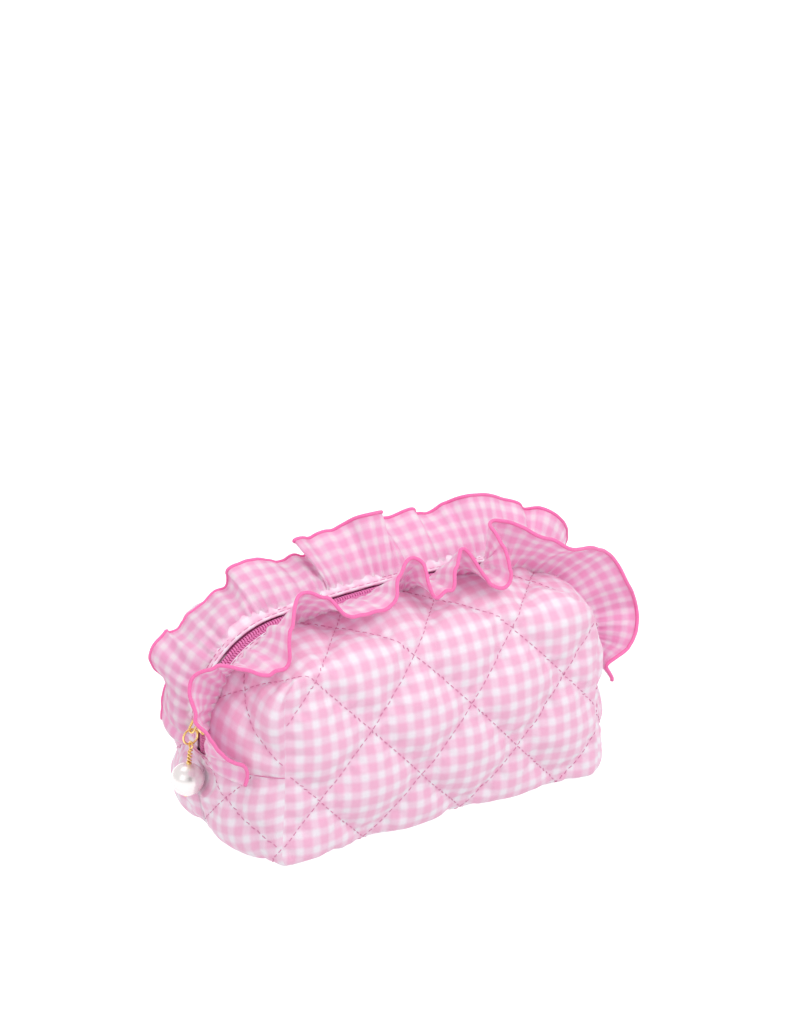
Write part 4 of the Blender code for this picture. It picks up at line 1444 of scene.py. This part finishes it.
def make_bindings():
    """Folded tapes that bind the raw seams inside, one strip to each seam."""
    depth = 7.0
    nz, ny = CELLS_Z, CELLS_Y
    section = [(-3.0, 0.0), (-2.8, 0.35), (0.0, 0.5), (2.8, 0.35), (3.0, 0.0), (0.0, -0.3)]
    for side, sign in SIDES.items():
        for end, i, way in ENDS:
            for level, low, high in (("lower", 3, CELLS_LOW - 2), ("upper", CELLS_LOW + 2, nz - 5)):
                stations = []
                for k in range(low, high + 1):
                    p = pouch_point(i, 0, k, depth)
                    out = Vector((-way, -sign, 0)).normalized()
                    across = Vector((way, -sign, 0)).normalized()
                    stations.append((Vector((p.x, -sign * p.y, p.z)), across, out, p.z))
                strip = sweep("%s_%s_%s_seam_tape" % (side, end, level), stations, section)
                node_name = "%s_%s_%s_corner_binding" % (side, end, level)
                if level == "lower":
                    finish_piece(strip, "binding_tape", "root", replaces=[node_name])
                else:
                    finish_piece(strip, "binding_tape", side + "_half", CLOTH_TURN, [node_name])
    for end, i, way in ENDS:
        stations = []
        places = [(j, -1) for j in range(2, ny + 1)] + [(j, 1) for j in range(ny - 1, 1, -1)]
        for j, half in places:
            p = pouch_point(i, j, CELLS_LOW - 1, depth)
            stations.append((Vector((p.x, half * abs(p.y), p.z)), Vector((0, 0, 1)),
                             Vector((-way, 0, 0)), half * abs(p.y)))
        strip = sweep(end + "_end_seam_tape", stations, section)
        finish_piece(strip, "binding_tape", "root", replaces=[end + "_end_seam_binding"])


# ---------------------------------------------------------------- stage

def make_stage():
    """Camera at the picture's angle, pale floor and soft studio light."""
    scene = bpy.context.scene
    scene.view_settings.view_transform = "Standard"
    camera = bpy.data.objects.new("camera", bpy.data.cameras.new("camera"))
    camera.data.sensor_width = 36.0
    camera.data.lens = 120.26
    camera.data.clip_start = 0.05
    camera.data.clip_end = 50.0
    azimuth, elevation, distance = math.radians(31.95), math.radians(23.5), 1.5
    target = Vector((0.00572, 0.0, 0.13045))
    back = Vector((-math.sin(azimuth) * math.cos(elevation),
                   -math.cos(azimuth) * math.cos(elevation), math.sin(elevation)))
    camera.location = target + back * distance
    camera.rotation_mode = "QUATERNION"
    camera.rotation_quaternion = (-back).to_track_quat("-Z", "Y")
    scene.collection.objects.link(camera)
    scene.camera = camera
    world = bpy.data.worlds.new("studio")
    scene.world = world
    world.use_nodes = True
    world.node_tree.nodes["Background"].inputs[0].default_value = (1.0, 0.99, 0.99, 1)
    world.node_tree.nodes["Background"].inputs[1].default_value = 0.84
    floor = grid_object("floor", [[(x, y, 0.0) for x in (-9000, 9000)] for y in (-9000, 9000)])
    paper, _, shader = shader_base("floor_paper", 0.9)
    shader.inputs["Base Color"].default_value = (0.5, 0.5, 0.5, 1)
    shader.inputs["Emission Color"].default_value = (1, 1, 1, 1)
    shader.inputs["Emission Strength"].default_value = 0.82
    floor.data.materials.append(paper)
    floor.visible_diffuse = False
    add_light("key", (0.7, -1.7, 2.1), 1.2, 19.0)
    add_light("fill", (-1.9, -0.8, 1.3), 1.4, 5.0)
    add_light("top", (-0.3, 0.7, 2.0), 1.3, 5.0)
    make_dark_card(camera.location)


def make_dark_card(eye):
    """Black card beside the camera, seen only as a soft dark reflection in the bead."""
    edges = (-330, 330)
    card = grid_object("dark_card", [[(x, y, 0) for x in edges] for y in edges])
    dark, _, shader = shader_base("card_black", 0.9)
    shader.inputs["Base Color"].default_value = (0.02, 0.015, 0.015, 1)
    card.data.materials.append(dark)
    spot = Vector((-0.105, 0.0, 0.028))
    away = (eye - spot).normalized()
    card.rotation_mode = "QUATERNION"
    card.rotation_quaternion = away.to_track_quat("Z", "Y")
    card.location = spot + away * 1.2 + Vector((0.36, -0.23, -0.05))
    card.visible_camera = False
    card.visible_diffuse = False
    card.visible_shadow = False
    card.visible_transmission = False


def add_light(name, place, size, power):
    """Square softbox aimed at the pouch."""
    data = bpy.data.lights.new(name, "AREA")
    data.energy = power
    data.size = size
    lamp = bpy.data.objects.new(name, data)
    lamp.location = place
    aim = Vector((0, 0, 0.05)) - Vector(place)
    lamp.rotation_mode = "QUATERNION"
    lamp.rotation_quaternion = aim.to_track_quat("-Z", "Y")
    bpy.context.scene.collection.objects.link(lamp)


make_stage()
make_pouch()
make_ruffles()
make_zip()
make_slider()
make_charm()
make_seam_lines()
make_bindings()
SLOT_OF = {part["node"]: part["material_slot"] for part in frame["record"]["subparts"]}
for name, thing in frame["nodes"].items():
    obj = thing if hasattr(thing, "data") else bpy.data.objects.get(name)
    if obj:
        obj.data.materials.clear()
        obj.data.materials.append(LOOKS[SLOT_OF[name]])
